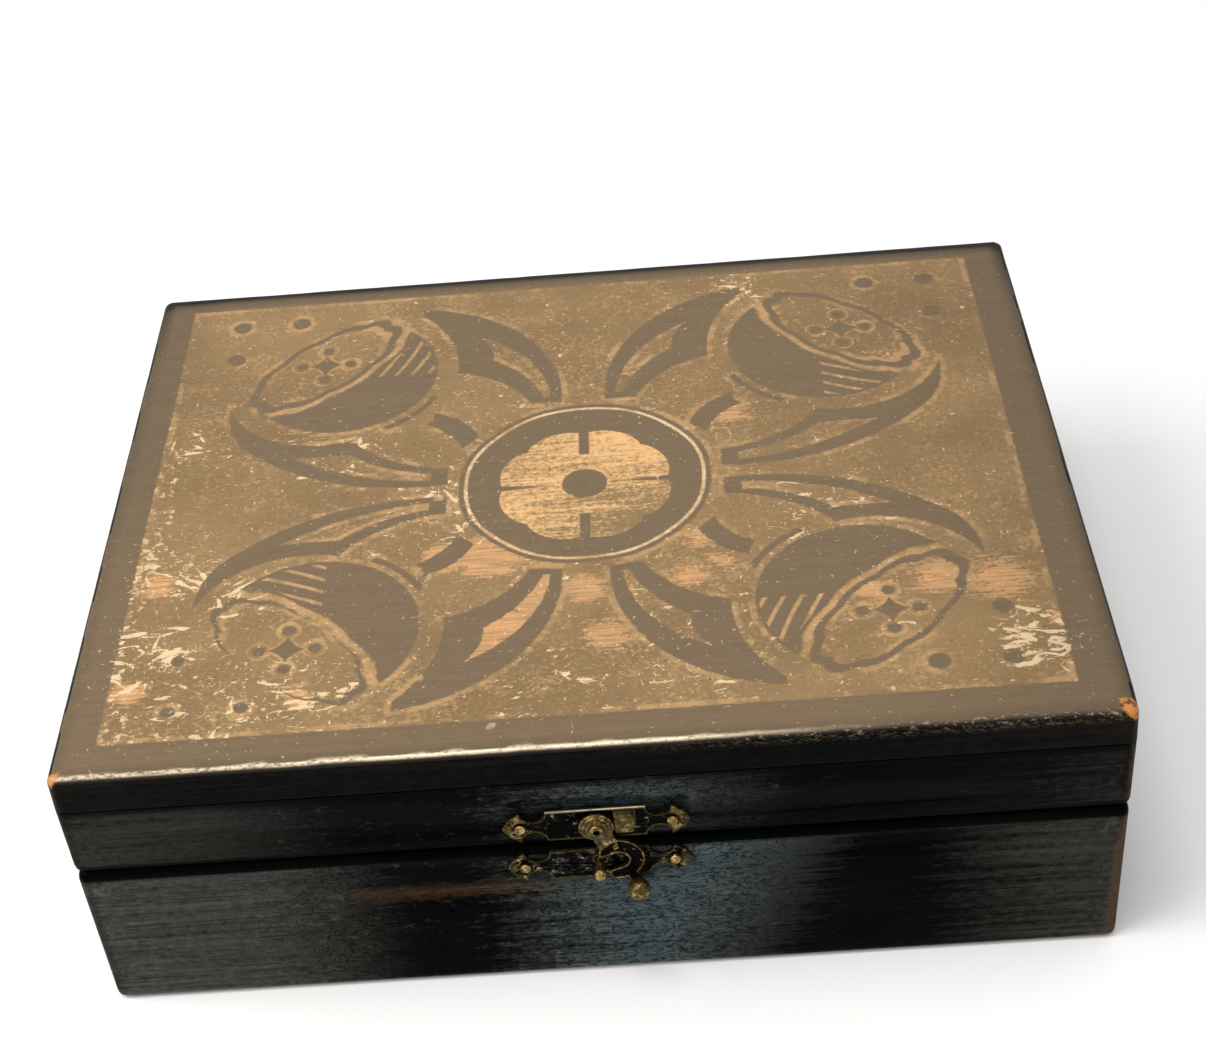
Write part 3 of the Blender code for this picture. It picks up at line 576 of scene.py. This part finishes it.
def top_finish(settings):
    """Khaki stain with a darker stencil, rubbed and scratched, and black gloss down the board's edge."""
    finish = Finish("stencilled_top", Specular_IOR_Level=0.2, Coat_Roughness=0.18)
    by = top_noises(finish)
    dark, petal, ring_line, pod_lines = stencil(finish)
    wobble = (finish.noise((0.25, 0.8, 0.8), 3, 0.6) - 0.5) * 1.1
    dark, petal = dark + wobble, petal + wobble
    ring_line, pod_lines = ring_line + wobble * 0.6, pod_lines + wobble * 0.6

    field = stained_field(finish, settings, by)
    field = light_parts(finish, settings, by, field, dark, petal, ring_line, pod_lines)
    tone = (by.grain * 0.5 + by.weave * 0.6).rise(0.4, 0.72)
    stain = finish.mix(tone, settings.stencil_dark, settings.stencil_light)
    painted = dark.rise(0.2, -0.2)
    colour = finish.mix(painted, field, stain)

    density = finish.patches(SCRATCHED, 0.3) * (0.5 + by.cloud)
    density = density + abs(dark - 0.6).rise(2.2, 0.3) * 0.14 - painted * 0.25
    marks = scratches_of(finish, density.clamped(), by.ragged)
    colour = finish.mix(marks * (0.84 - painted * 0.25), colour, settings.scuff)
    colour = darker_edges_with_shade(finish, settings, colour)

    drop = HEIGHT - finish.z
    side = drop.rise(0.2, 0.9)
    tone = (by.grain * 0.5 + by.weave * 0.5).rise(0.35, 0.65)
    black = finish.mix(tone, settings.black_paint, settings.black_brown)
    colour = finish.mix(side, colour, black)
    right = finish.x.rise(18, 60)
    arris_wear_and_highlight = front_wear_and_highlight(finish, drop, right)
    # Cream for the bright line on the front edge: painted highlight over pale worn wood.
    pale = finish.mix(right * 0.75, settings.arris_wear_and_highlight, settings.stencil_light)
    colour = finish.mix(arris_wear_and_highlight * 0.75, colour, pale)

    finish.shade("Base Color", bare_corners(finish, settings, by.ragged, drop, colour))
    finish.shade("Coat Weight", arris_wear_and_highlight)
    finish.shade("Roughness", finish.blend(side, 0.52 - painted * 0.06, 0.34 + by.ragged * 0.12))
    relief = by.weave * 0.05 + marks * 0.05 + painted * 0.05 + by.ragged * side * 0.25
    finish.bump(relief, 0.7)
    return finish.material


def top_edge_finish(settings):
    """Black gloss paint on the edges of the top board, thin enough in places to look brown, with a brown
    painted reflection just under the top.
    """
    finish = Finish("black_top_edge", Specular_IOR_Level=0.02, Coat_Roughness=0.2)
    grain = grain_of(finish)
    mottle = finish.noise((0.4, 0.4, 0.8), 4, 0.65)
    drop = HEIGHT - finish.z
    ends = abs(finish.x + 12).rise(70, 127)
    # Browner where the paint is thin and towards the ends. The brown within 5 mm of the top is a painted
    # reflection.
    thin = (grain * 0.7 + mottle * 0.5 + drop.rise(5, 0) * 0.2 + ends * 0.2).rise(0.6, 0.95)
    colour = finish.mix(thin, settings.black_paint, settings.black_brown)
    ragged = finish.noise((0.5, 0.5, 0.5), 4, 0.7)
    colour = bare_corners(finish, settings, ragged, drop, colour)
    flecks = finish.noise((0.7, 1.4, 1.4), 4, 0.75, 0.3).rise(0.5, 0.62)
    rough = flecks * drop.rise(3.4, 1.4) * finish.x.rise(0, 50) * finish.y.rise(-89, -91)
    finish.shade("Base Color", finish.mix(rough * 0.6, colour, settings.stencil_light))
    gloss = (mottle * 0.4 + grain * 0.6).rise(0.4, 0.7) * (0.03 + finish.y.rise(-89, -80) * 0.14)
    finish.shade("Coat Weight", gloss + 0.01)
    finish.shade("Roughness", 0.34 + mottle * 0.12)
    finish.bump(grain * 0.1 + mottle * 0.2, 0.7)
    return finish.material


def bare_wood(finish, settings, grain, along_x=True):
    """The colour of unpainted wood: drawn-out growth rings, fine grain and a little age."""
    stretch = (0.006, 0.09, 0.09) if along_x else (0.09, 0.006, 0.09)
    rings = finish.noise(stretch, 3, 0.5, 0.6)
    bands = (rings * 90).sine() * 0.5 + 0.5
    aged = finish.noise((0.015, 0.015, 0.015), 3)
    share = grain.rise(0.35, 0.65) * 0.5 + bands * 0.35 + aged.rise(0.4, 0.7) * 0.3
    return finish.mix(share.clamped(), settings.inside_wood, settings.inside_grain)


def bloom_and_reflections_of(finish, grain, mottle, cloud, front, lid):
    """Where the paint has bloomed and where reflections are painted on it, and the share of it in the middle
    of the front.
    """
    x, z = finish.x, finish.z
    shifted = x + (grain - 0.5) * 42 + (mottle - 0.5) * 26
    left = (shifted + lid * 9).rise(-44, -72)
    left = left * finish.blend(lid, 0.62, 0.16 + shifted.rise(-60, -110) * 0.14)
    middle = shifted.rise(-26, 4) * (shifted - z * (1 - lid) * 0.4 + 9).rise(50, 18)
    middle = middle * finish.blend(lid, 1, 0.3 + z.rise(51, 55) * 0.4)
    right = shifted.rise(74, 104) * finish.blend(lid, 0.36, 0.04 + shifted.rise(96, 114) * 0.1)
    sides = (cloud + grain * 0.4).rise(0.5, 0.85) * 0.5
    return finish.blend(front, sides, left.most(middle, right)), middle


def worn_paint(finish, settings, paint, mottle, streak, front, outside_groove_shade):
    """Adds brown where the paint is rubbed or worn off the edges, and orange on the bare corners."""
    x, z = finish.x, finish.z
    edge = edge_distance(finish)
    rubbed = abs(z - 30.5 + (mottle - 0.5) * 6).rise(3.2, 1) * x.rise(-66, -50) * x.rise(-4, -16) * front
    paint = finish.mix(rubbed * streak * 0.6, paint, settings.worn_brown)
    ragged = finish.noise((0.35, 0.35, 0.35), 4, 0.7)
    low_right = x.rise(104, 114) * z.rise(40, 30) * 2
    share = (0.3 + x.rise(-100, 100)).least(1).most(z.rise(3, 1.5) * 0.6)
    # Worn brown and bare wood stay out of the groove between lid and base, which stays black as painted
    # shade.
    worn = (edge - ragged * 4.5 - low_right).rise(-0.4, -2.0) * outside_groove_shade * share
    paint = finish.mix(worn * 0.7, paint, settings.worn_brown)
    bare = (edge - ragged * 3).rise(-1.2, -1.7) * outside_groove_shade * x.rise(-100, 100)
    return finish.mix(bare * 0.7, paint, settings.bare_orange)


def board_finish(settings, name, along_x):
    """Black gloss paint over grained boards, bloomed in patches and worn to brown, with bare wood inside."""
    finish = Finish(name, Specular_IOR_Level=0.01, Coat_Roughness=0.2)
    grain = grain_of(finish, along_x, 1.7)
    x, y, z = finish.x, finish.y, finish.z
    mottle = finish.noise((0.45, 0.45, 0.8), 4, 0.66, 0.5)
    cloud = finish.noise((0.018, 0.018, 0.05), 3, 0.55)
    front, lid = (-y).rise(80, 85), z.rise(43, 44)

    bloom_and_reflection, middle = bloom_and_reflections_of(finish, grain, mottle, cloud, front, lid)
    # 1 away from the groove where lid and base meet. In the groove the paint stays plain black, with no
    # reflection colour, gloss or wear: painted shade.
    outside_groove_shade = abs(z - SEAM * PER_M).rise(2.2, 3.0)
    streak = (grain * 0.8 + mottle * 0.6).rise(0.5, 0.9)
    speckle = mottle.rise(0.6, 0.8) * 0.06
    upright = (HALF_WIDTH - abs(x)).rise(0.4, 3).most(1 - front)
    gloss = (bloom_and_reflection + speckle) * outside_groove_shade * z.rise(62.8, 60) * upright * (0.2 + streak * 1.45)
    crazed = finish.noise((0.3, 0.7, 0.7), 3, 0.6, 0.8)
    cracks = abs(crazed - 0.5).rise(0.045, 0.01) * front
    cracks = cracks * (x + mottle * 60).rise(-60, -30) * (x - mottle * 40).rise(34, 10)
    blisters = (crazed + mottle * 0.5).rise(0.86, 0.98) * cloud.rise(0.35, 0.6) * front
    blisters = blisters * x.rise(-95, -60) * x.rise(60, 40)
    gloss = (gloss * (1 - cracks * 0.85) + blisters * outside_groove_shade * 0.35).clamped()

    # The grey and blue-green colour mixed in where the gloss is is painted reflection on the black paint;
    # the coat carries the real gloss.
    reflection_haze = finish.mix(middle.clamped(), settings.bloom_grey_reflection, settings.bloom_blue_reflection)
    brown = (cloud + grain * 0.35).rise(0.66, 0.84) * 0.2
    paint = finish.mix(brown, settings.black_paint, settings.black_brown)
    paint = finish.mix(gloss, paint, reflection_haze)
    paint = worn_paint(finish, settings, paint, mottle, streak, front, outside_groove_shade)

    wood = bare_wood(finish, settings, grain, along_x)
    wall = WALL * PER_M
    inner = (abs(x) - HALF_WIDTH).most(abs(y) - HALF_DEPTH).rise(0.3 - wall, 0.1 - wall)
    finish.shade("Base Color", finish.mix(inner, paint, wood))
    finish.shade("Coat Weight", (gloss * 0.7 + 0.01) * (1 - inner))
    finish.shade("Roughness", finish.blend(inner, 0.3 + mottle * 0.12, 0.62))
    finish.bump(grain * 0.12 + mottle * 0.15 + blisters * 0.1 - cracks * 0.12, 0.9)
    return finish.material


def plain_wood_finish(settings, name):
    """Unfinished wood for the bottom panel and the underside of the top board."""
    finish = Finish(name, Specular_IOR_Level=0.25)
    grain = grain_of(finish)
    finish.shade("Base Color", bare_wood(finish, settings, grain))
    finish.shade("Roughness", 0.6 + grain * 0.1)
    finish.bump(grain * 0.08, 0.5)
    return finish.material


def brass_finish(settings, name, tarnish, button=None, highlight_edge=None):
    """Old brass, rubbed bright in places. A button's centre gives turned rings and a black middle, painted
    shade for its hole; a height gives a painted highlight along that top edge.
    """
    finish = Finish(name, Metallic=1)
    blotch = finish.noise((0.7, 0.7, 0.7), 4, 0.65, 0.3)
    fine = finish.noise((2.2, 2.2, 2.2), 4, 0.65)
    if highlight_edge:
        tarnish = tarnish - (-finish.y).rise(HALF_DEPTH + 1.3, HALF_DEPTH + 1.45) * 0.05
    dull = (blotch + tarnish).rise(0.42, 0.62)
    colour = finish.mix(dull, settings.brass, settings.tarnish)
    colour = finish.mix((fine + tarnish * 0.6).rise(0.5, 0.62) * 0.6, colour, settings.black_paint)
    relief = blotch * 0.12 + fine * 0.03
    if button:
        far = finish.disc(finish.point(finish.x, finish.z), *button)
        groove = (far * 7.4).cosine().rise(0.1, 0.95) * far.rise(3.9, 3.7) * far.rise(0.9, 1.1)
        # The black middle is painted shade standing for the hole; the turned grooves are blackened too.
        hole_shade = far.rise(0.85, 0.7)
        colour = finish.mix((groove * 0.75).most(hole_shade), colour, settings.black_paint)
        relief = relief - groove * 0.12
    if highlight_edge:
        front = (-finish.y).rise(HALF_DEPTH + 0.7, HALF_DEPTH + 0.8)
        # A painted highlight along the plate's top edge.
        painted_highlight = (finish.z - highlight_edge).rise(-0.2, -0.1) * abs(finish.x).rise(13.9, 13.6) * front
        colour = finish.mix(painted_highlight * (0.5 + fine * 0.6), colour, settings.bright)
    finish.shade("Base Color", colour)
    finish.shade("Roughness", 0.18 + dull * 0.25 + fine * 0.15)
    finish.bump(relief, 0.8)
    return finish.material


def plate_finish(settings, name, bare_ends, nails=()):
    """Black paint over brass, rubbed through in patches and at the ends, dark round the nails."""
    finish = Finish(name, Specular_IOR_Level=0.01, Coat_Roughness=0.25)
    blotch = finish.noise((0.4, 0.4, 0.6), 5, 0.72, 0.5)
    lower = finish.z.rise(SEAM * PER_M + 0.5, SEAM * PER_M - 0.5)
    ends = abs(finish.x).rise(13, 17) * bare_ends
    bare = (blotch + ends * (0.165 - finish.x.rise(-13, 13) * 0.05 - lower * 0.06)).rise(0.6, 0.64)
    spot = finish.point(finish.x, finish.z)
    for nail in nails:
        low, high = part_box(nail)
        middle = (low + high) * 0.5 * PER_M
        bare = bare * finish.disc(spot, middle.x, middle.z, (high.x - low.x) * 0.5 * PER_M).rise(0.25, 0.5)
    fine = finish.noise((1.6, 1.6, 1.6), 4, 0.65).rise(0.36, 0.56)
    metal = finish.mix(fine, settings.brass, settings.tarnish)
    finish.shade("Base Color", finish.mix(bare, settings.black_paint, metal))
    finish.shade("Metallic", bare)
    finish.shade("Coat Weight", blotch.rise(0.5, 0.58) * (lower * 0.5 + 0.06) * bare_ends)
    finish.shade("Roughness", 0.25 + blotch * 0.2)
    finish.bump(blotch * 0.15, 0.8)
    return finish.material


def geometry(shape):
    return [*shape.verts, *shape.edges, *shape.faces]


def rounded_box(low, high, radius, steps):
    low, high = Vector(low), Vector(high)
    shape = bmesh.new()
    bmesh.ops.create_cube(shape, size=1)
    for vert in shape.verts:
        vert.co = Vector([low[n] if vert.co[n] < 0 else high[n] for n in range(3)])
    bmesh.ops.bevel(
        shape, geom=list(shape.edges), offset=radius, segments=steps, profile=0.5, affect="EDGES"
    )
    return shape


def set_material(item, material):
    item.data.materials.clear()
    item.data.materials.append(material)


def welded(node, tidy=True):
    """A CAD node's mesh, with its split corners joined and, if tidy, its flat faces whole."""
    shape = bmesh.new()
    shape.from_mesh(NODES[node].data)
    bmesh.ops.remove_doubles(shape, verts=shape.verts, dist=0.002 * MM)
    if tidy:
        bmesh.ops.dissolve_limit(
            shape, angle_limit=math.radians(0.7), verts=shape.verts, edges=shape.edges
        )
    return shape


def eased(shape, edges, width):
    """Rounds edges a little."""
    bmesh.ops.bevel(
        shape, geom=edges, offset=width, segments=3, profile=0.5, affect="EDGES", clamp_overlap=True
    )


def placed(shape, name, node, slot, *materials):
    """Makes a finished piece that stands for a CAD node and rides on its body."""
    mesh = bpy.data.meshes.new(name)
    shape.to_mesh(mesh)
    shape.free()
    mesh.shade_smooth()
    mesh.set_sharp_from_angle(angle=math.radians(40))
    for material in materials:
        mesh.materials.append(material)
    piece = bpy.data.objects.new(name, mesh)
    bpy.context.scene.collection.objects.link(piece)
    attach(piece, BODY_OF[node])
    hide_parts(node)
    return piece


def rimmed(shape, depth, width, sink, split=(HIGH, Vector((0, 0, 1)))):
    """Sinks a flat face in front of the box to material 0, and leaves a rim of material 1 round it."""
    place, normal = split
    flat = [
        face
        for face in shape.faces
        if face.normal.y < -0.99
        and abs(face.calc_center_median().y - depth) < 0.05 * MM
        and (face.calc_center_median() - place).dot(normal) < 0
    ]
    bend = math.radians(20)
    outline = [edge for face in flat for edge in face.edges if abs(edge.calc_face_angle(0)) > bend]
    made = bmesh.ops.inset_region(shape, faces=flat, thickness=width, depth=0, use_even_offset=True)
    for face in made["faces"]:
        face.material_index = 1
    for vert in {vert for face in flat for vert in face.verts}:
        vert.co.y += sink
    for face in flat:
        face.material_index = 0
    return list({edge for edge in outline if edge.is_valid})


def colour(name, description, default):
    return bpy.props.FloatVectorProperty(
        name=name, description=description, default=default, subtype="COLOR", size=3, min=0, max=1
    )


class WoodSettings(bpy.types.PropertyGroup):
    """Colours of the paint, stain and bare wood."""

    field_light: colour("Field, light", "Stain on the top where it is palest", (0.255, 0.162, 0.074))
    field_dark: colour("Field, dark", "Stain on the top where it is deepest", (0.205, 0.130, 0.060))
    field_pore: colour("Field, pores", "Stain in the pores of the top", (0.165, 0.104, 0.05))
    stencil_light: colour("Stencil, light", "Palest part of the dark stencil", (0.176, 0.122, 0.070))
    stencil_dark: colour("Stencil, dark", "Darkest part of the dark stencil", (0.136, 0.093, 0.052))
    petal: colour("Petals", "Light petals of the rosette", (0.68, 0.40, 0.175))
    petal_grain: colour("Petals, grain", "Grain in the petals", (0.22, 0.145, 0.066))
    rubbed: colour("Rubbed stain", "Warm wood where the stain is rubbed thin", (0.70, 0.345, 0.145))
    tan: colour("Tan wood", "Tan wood beside the stencil and in its light lines", (0.43, 0.26, 0.12))
    scuff: colour("Scuffs", "Cream scratches and light lines", (0.74, 0.55, 0.33))
    # Cream of the front top edge: pale worn wood under a painted highlight.
    arris_wear_and_highlight: colour("Front arris", "Cream wood and varnish on the front top edge", (0.8, 0.66, 0.44))
    black_paint: colour("Black paint", "Black gloss paint", (0.0003, 0.0005, 0.0009))
    # Grey and blue-green painted reflections on the black paint, standing in for its bloom.
    bloom_grey_reflection: colour("Bloom, grey", "Grey-green bloom on the paint", (0.032, 0.033, 0.020))
    bloom_blue_reflection: colour("Bloom, blue", "Blue-green bloom on the paint", (0.026, 0.050, 0.054))
    black_brown: colour("Thin paint", "Black paint thin enough to look brown", (0.0085, 0.0065, 0.0042))
    worn_brown: colour("Worn paint", "Brown wood stained by worn paint", (0.075, 0.042, 0.02))
    bare_orange: colour("Bare corners", "Orange wood on the bare corners", (0.5, 0.2, 0.055))
    inside_wood: colour("Inside wood", "Bare wood inside the box", (0.42, 0.25, 0.13))
    inside_grain: colour("Inside grain", "Grain of the bare wood inside", (0.3, 0.165, 0.08))


class BrassSettings(bpy.types.PropertyGroup):
    """Colours and sizes of the latch and hinges."""

    brass: colour("Brass", "Rubbed brass", (0.50, 0.35, 0.125))
    tarnish: colour("Tarnish", "Olive-brown tarnish on brass", (0.10, 0.072, 0.024))
    # Colour of the painted highlight along the upper plate's top edge.
    bright: colour("Bright edge", "Polished top edge of the upper plate", (0.85, 0.72, 0.52))
    black_paint: colour("Paint on brass", "Black paint over the plates", (0.0016, 0.0016, 0.0016))
    ease: bpy.props.FloatProperty(
        name="Eased edges", description="Rounding of the metal's edges", default=0.1 * MM, unit="LENGTH"
    )
    rim: bpy.props.FloatProperty(
        name="Rim", description="Width of the raised rim round each plate", default=0.36 * MM, unit="LENGTH"
    )


class StageSettings(bpy.types.PropertyGroup):
    """The floor and the light."""

    floor: colour("Floor", "Pale floor", (0.9, 0.9, 0.9))
    sky: bpy.props.FloatProperty(
        name="Sky", description="Strength of the even light", default=0.72, min=0
    )
    key: bpy.props.FloatProperty(
        name="Key", description="Power of the large lamp", default=12, min=0, unit="POWER"
    )
    top: bpy.props.FloatProperty(
        name="Top lamp", description="Power of the lamp overhead", default=2.6, min=0, unit="POWER"
    )


class CIGARBOX_OT_stage(bpy.types.Operator):
    """Make the floor, the soft studio light and the camera"""

    bl_idname = "cigarbox.stage"
    bl_label = "Stage"

    def execute(self, context):
        settings = context.scene.cigar_box_stage
        floor = Finish("pale_floor", Roughness=0.9)
        floor.shader.inputs["Base Color"].default_value = (*settings.floor, 1)
        mesh = bpy.data.meshes.new("floor")
        corners = [(x * FLOOR_REACH, y * FLOOR_REACH, 0) for x, y in ((-1, -1), (1, -1), (1, 1), (-1, 1))]
        mesh.from_pydata(corners, [], [(0, 1, 2, 3)])
        mesh.materials.append(floor.material)
        ground = bpy.data.objects.new("floor", mesh)
        ground.location.z = -0.05 * MM
        context.scene.collection.objects.link(ground)

        world = bpy.data.worlds.new("studio")
        context.scene.world = world
        world.use_nodes = True
        sky = world.node_tree.nodes["Background"]
        sky.inputs["Color"].default_value = (1, 1, 1, 1)
        sky.inputs["Strength"].default_value = settings.sky

        for name, (place, size) in LAMPS.items():
            self.lamp(context, name, Vector(place), size, getattr(settings, name))

        lens = bpy.data.cameras.new("camera")
        lens.lens, lens.sensor_width = CAMERA_LENS, 36
        camera = bpy.data.objects.new("camera", lens)
        camera.location = CAMERA_PLACE
        camera.rotation_euler = [math.radians(turn) for turn in CAMERA_TURNS]
        context.scene.collection.objects.link(camera)
        context.scene.camera = camera
        context.scene.view_settings.view_transform = "Standard"
        return {"FINISHED"}

    def lamp(self, context, name, place, size, power):
        data = bpy.data.lights.new(name, "AREA")
        data.shape = "RECTANGLE"
        data.size, data.size_y = size
        data.energy, data.color = power, (1, 0.98, 0.95)
        lamp = bpy.data.objects.new(name, data)
        lamp.location = place
        lamp.rotation_euler = (LAMPS_AIM - place).to_track_quat("-Z", "Y").to_euler()
        context.scene.collection.objects.link(lamp)


class CIGARBOX_OT_lid_top(bpy.types.Operator):
    """Make the top board with dented round edges, stained, stencilled and worn"""

    bl_idname = "cigarbox.lid_top"
    bl_label = "Lid top"

    def execute(self, context):
        shape = rounded_box((LOW.x, LOW.y, SEAM), HIGH, EDGE_ROUND, EDGE_STEPS)
        kept = bmesh.ops.bisect_plane(
            shape, geom=geometry(shape), plane_co=(0, 0, TOP_LOW.z), plane_no=(0, 0, -1), clear_outer=True
        )
        cut = [part for part in kept["geom_cut"] if isinstance(part, bmesh.types.BMEdge)]
        bmesh.ops.holes_fill(shape, edges=cut)
        for axis, spacing in enumerate(EDGE_CUTS):
            reach = HIGH[axis] - CUTS_INSET
            count = round(2 * reach / spacing)
            for step in range(count + 1):
                place = Vector((0, 0, 0))
                place[axis] = -reach + 2 * reach * step / count
                normal = Vector((0, 0, 0))
                normal[axis] = 1
                bmesh.ops.bisect_plane(shape, geom=geometry(shape), plane_co=place, plane_no=normal)
        for vert in shape.verts:
            self.dent(vert)
        for face in shape.faces:
            middle = face.calc_center_median()
            stain = STAIN_FRONT if middle.y < LOW.y + EDGE_ROUND else STAIN_SIDES
            face.material_index = 2 if face.normal.z < -0.9 else int(middle.z < HIGH.z - stain)
        settings = context.scene.cigar_box_wood
        beneath = "bare_wood_beneath"
        looks = top_finish(settings), top_edge_finish(settings), plain_wood_finish(settings, beneath)
        placed(shape, "lid_top_board", "lid_top", "stained_top", *looks)
        return {"FINISHED"}

    def dent(self, vert):
        """Wears the round edge in by up to a quarter of a millimetre, more at the corners."""
        inset = Vector([max(abs(vert.co[axis]) - (HIGH[axis] - EDGE_ROUND), 0) for axis in (0, 1)] + [0])
        rise = max(vert.co.z - (HIGH.z - EDGE_ROUND), 0)
        if rise == 0 or inset.length == 0:
            return
        worn = 1 if vert.co.y < LOW.y + 3 * MM else 0.35
        rough = max(noise.noise(vert.co * 190) + 0.05, 0) * 0.3 + max(noise.noise(vert.co * 60), 0) * 0.15
        both = min(inset.x, inset.y) / MM
        depth = min(rough * worn + both * 0.2, 0.6) * MM
        away = Vector((math.copysign(inset.x, vert.co.x), math.copysign(inset.y, vert.co.y), rise))
        vert.co -= away.normalized() * depth


class CIGARBOX_OT_boards(bpy.types.Operator):
    """Make the eight boards with their fingers drawn tight, painted outside and bare inside"""

    bl_idname = "cigarbox.boards"
    bl_label = "Boards"

    def execute(self, context):
        settings = context.scene.cigar_box_wood
        looks = {
            "front": board_finish(settings, "black_boards_across", True),
            "left": board_finish(settings, "black_boards_along", False),
        }
        looks["back"], looks["right"] = looks["front"], looks["left"]
        for part in ("base", "lid"):
            for side, look in looks.items():
                node = f"{part}_{side}"
                shape = welded(node)
                for vert in shape.verts:
                    self.tighten(vert, part, side in ("front", "back"))
                placed(shape, f"{node}_board", node, "black_painted_wood", look)
        set_material(NODES["base_bottom"], plain_wood_finish(settings, "bare_wood_bottom"))
        return {"FINISHED"}

    def tighten(self, vert, part, across):
        """Closes the gap at the fingers, so the painted joint shows as a hairline."""
        axis = 0 if across else 1
        floor = HIGH[axis] - WALL
        if abs(abs(vert.co[axis]) - (floor - GAP)) < HAIRLINE:
            vert.co[axis] = math.copysign(floor - HAIRLINE, vert.co[axis])
        low, high, count = FINGERS[part]
        pitch = (high - low) / count
        level = round((vert.co.z - low) / pitch)
        middle = low + level * pitch
        corner = all(abs(vert.co[n]) > HIGH[n] - WALL - GAP - HAIRLINE for n in (0, 1))
        if 0 < level < count and corner and abs(abs(vert.co.z - middle) - GAP / 2) < HAIRLINE:
            vert.co.z = middle + math.copysign(HAIRLINE, vert.co.z - middle)


class CIGARBOX_OT_latch_plates(bpy.types.Operator):
    """Make the two scalloped latch plates with raised rims"""

    bl_idname = "cigarbox.latch_plates"
    bl_label = "Latch plates"

    def execute(self, context):
        settings = context.scene.cigar_box_brass
        nails = [name for name in NODES if name.startswith(("upper_nail", "keeper_nail"))]
        face = plate_finish(settings, "painted_plate", 1, nails)
        _, plate_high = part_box("latch_upper_plate")
        rim = brass_finish(settings, "plate_rim_brass", 0.2, highlight_edge=plate_high.z * PER_M)
        for node in ("latch_upper_plate", "latch_keeper_plate"):
            shape = welded(node, False)
            for part in shape.faces:
                part.material_index = 1
            outline = rimmed(shape, PLATE_FACE, settings.rim, SUNK_PLATE)
            eased(shape, outline, settings.ease)
            proud = [
                edge
                for edge in shape.edges
                if max(vert.co.y for vert in edge.verts) < LUG_FRONT
                and edge.calc_face_angle(0) > math.radians(30)
            ]
            eased(shape, proud, LUG_EASE)
            placed(shape, node.replace("plate", "scallop_plate"), node, "tarnished_brass", face, rim)
        return {"FINISHED"}


class CIGARBOX_OT_hook(bpy.types.Operator):
    """Make the swing hook: gold button, lug and knob, and a black ring with bright edges"""

    bl_idname = "cigarbox.hook"
    bl_label = "Hook"

    def execute(self, context):
        settings = context.scene.cigar_box_brass
        shape = welded("latch_hook", False)
        neck = PIVOT + NECK_PLACE, NECK_WAY
        bmesh.ops.bisect_plane(shape, geom=geometry(shape), plane_co=neck[0], plane_no=neck[1])
        for part in shape.faces:
            part.material_index = 2
        outline = rimmed(shape, RING_FACE, RING_RIM, SUNK_RING, neck)
        eased(shape, outline, settings.ease)
        looks = (
            plate_finish(settings, "painted_ring", 0),
            brass_finish(settings, "ring_edge_brass", 0.08),
            brass_finish(settings, "hook_brass", 0.085, BUTTON),
        )
        placed(shape, "latch_swing_hook", "latch_hook", "worn_brass", *looks)
        return {"FINISHED"}


class CIGARBOX_OT_pins(bpy.types.Operator):
    """Give the nails, rivet, post and hinges their brass"""

    bl_idname = "cigarbox.pins"
    bl_label = "Nails, post and hinges"

    def execute(self, context):
        settings = context.scene.cigar_box_brass
        bright = brass_finish(settings, "nail_brass", 0)
        dull = brass_finish(settings, "hinge_brass", 0.15)
        for name, node in NODES.items():
            if name.startswith("hinge"):
                set_material(node, dull)
            elif "rivet" in name:
                set_material(node, brass_finish(settings, "rivet_brass", 0.085, BUTTON))
            elif "nail" in name or "post" in name:
                set_material(node, bright)
        return {"FINISHED"}


class CIGARBOX_PT_panel(bpy.types.Panel):
    """Lists the pieces and the stage"""

    bl_label = "Cigar box"
    bl_idname = "CIGARBOX_PT_panel"
    bl_space_type = "VIEW_3D"
    bl_region_type = "UI"
    bl_category = "Cigar box"

    def draw(self, context):
        for operator in OPERATORS:
            self.layout.operator(operator.bl_idname)
        for group in SETTINGS:
            holder = getattr(context.scene, group)
            for name in holder.__annotations__:
                self.layout.prop(holder, name)


SETTINGS = {
    "cigar_box_wood": WoodSettings,
    "cigar_box_brass": BrassSettings,
    "cigar_box_stage": StageSettings,
}
OPERATORS = (
    CIGARBOX_OT_stage,
    CIGARBOX_OT_lid_top,
    CIGARBOX_OT_boards,
    CIGARBOX_OT_latch_plates,
    CIGARBOX_OT_hook,
    CIGARBOX_OT_pins,
)


def register():
    for kind in (*SETTINGS.values(), *OPERATORS, CIGARBOX_PT_panel):
        bpy.utils.register_class(kind)
    for name, kind in SETTINGS.items():
        setattr(bpy.types.Scene, name, bpy.props.PointerProperty(type=kind))


def unregister():
    for name in SETTINGS:
        delattr(bpy.types.Scene, name)
    for kind in (CIGARBOX_PT_panel, *reversed(OPERATORS), *reversed(SETTINGS.values())):
        bpy.utils.unregister_class(kind)


def main():
    register()
    for operator in OPERATORS:
        getattr(bpy.ops.cigarbox, operator.bl_idname.split(".")[1])()


if __name__ == "__main__":
    main()
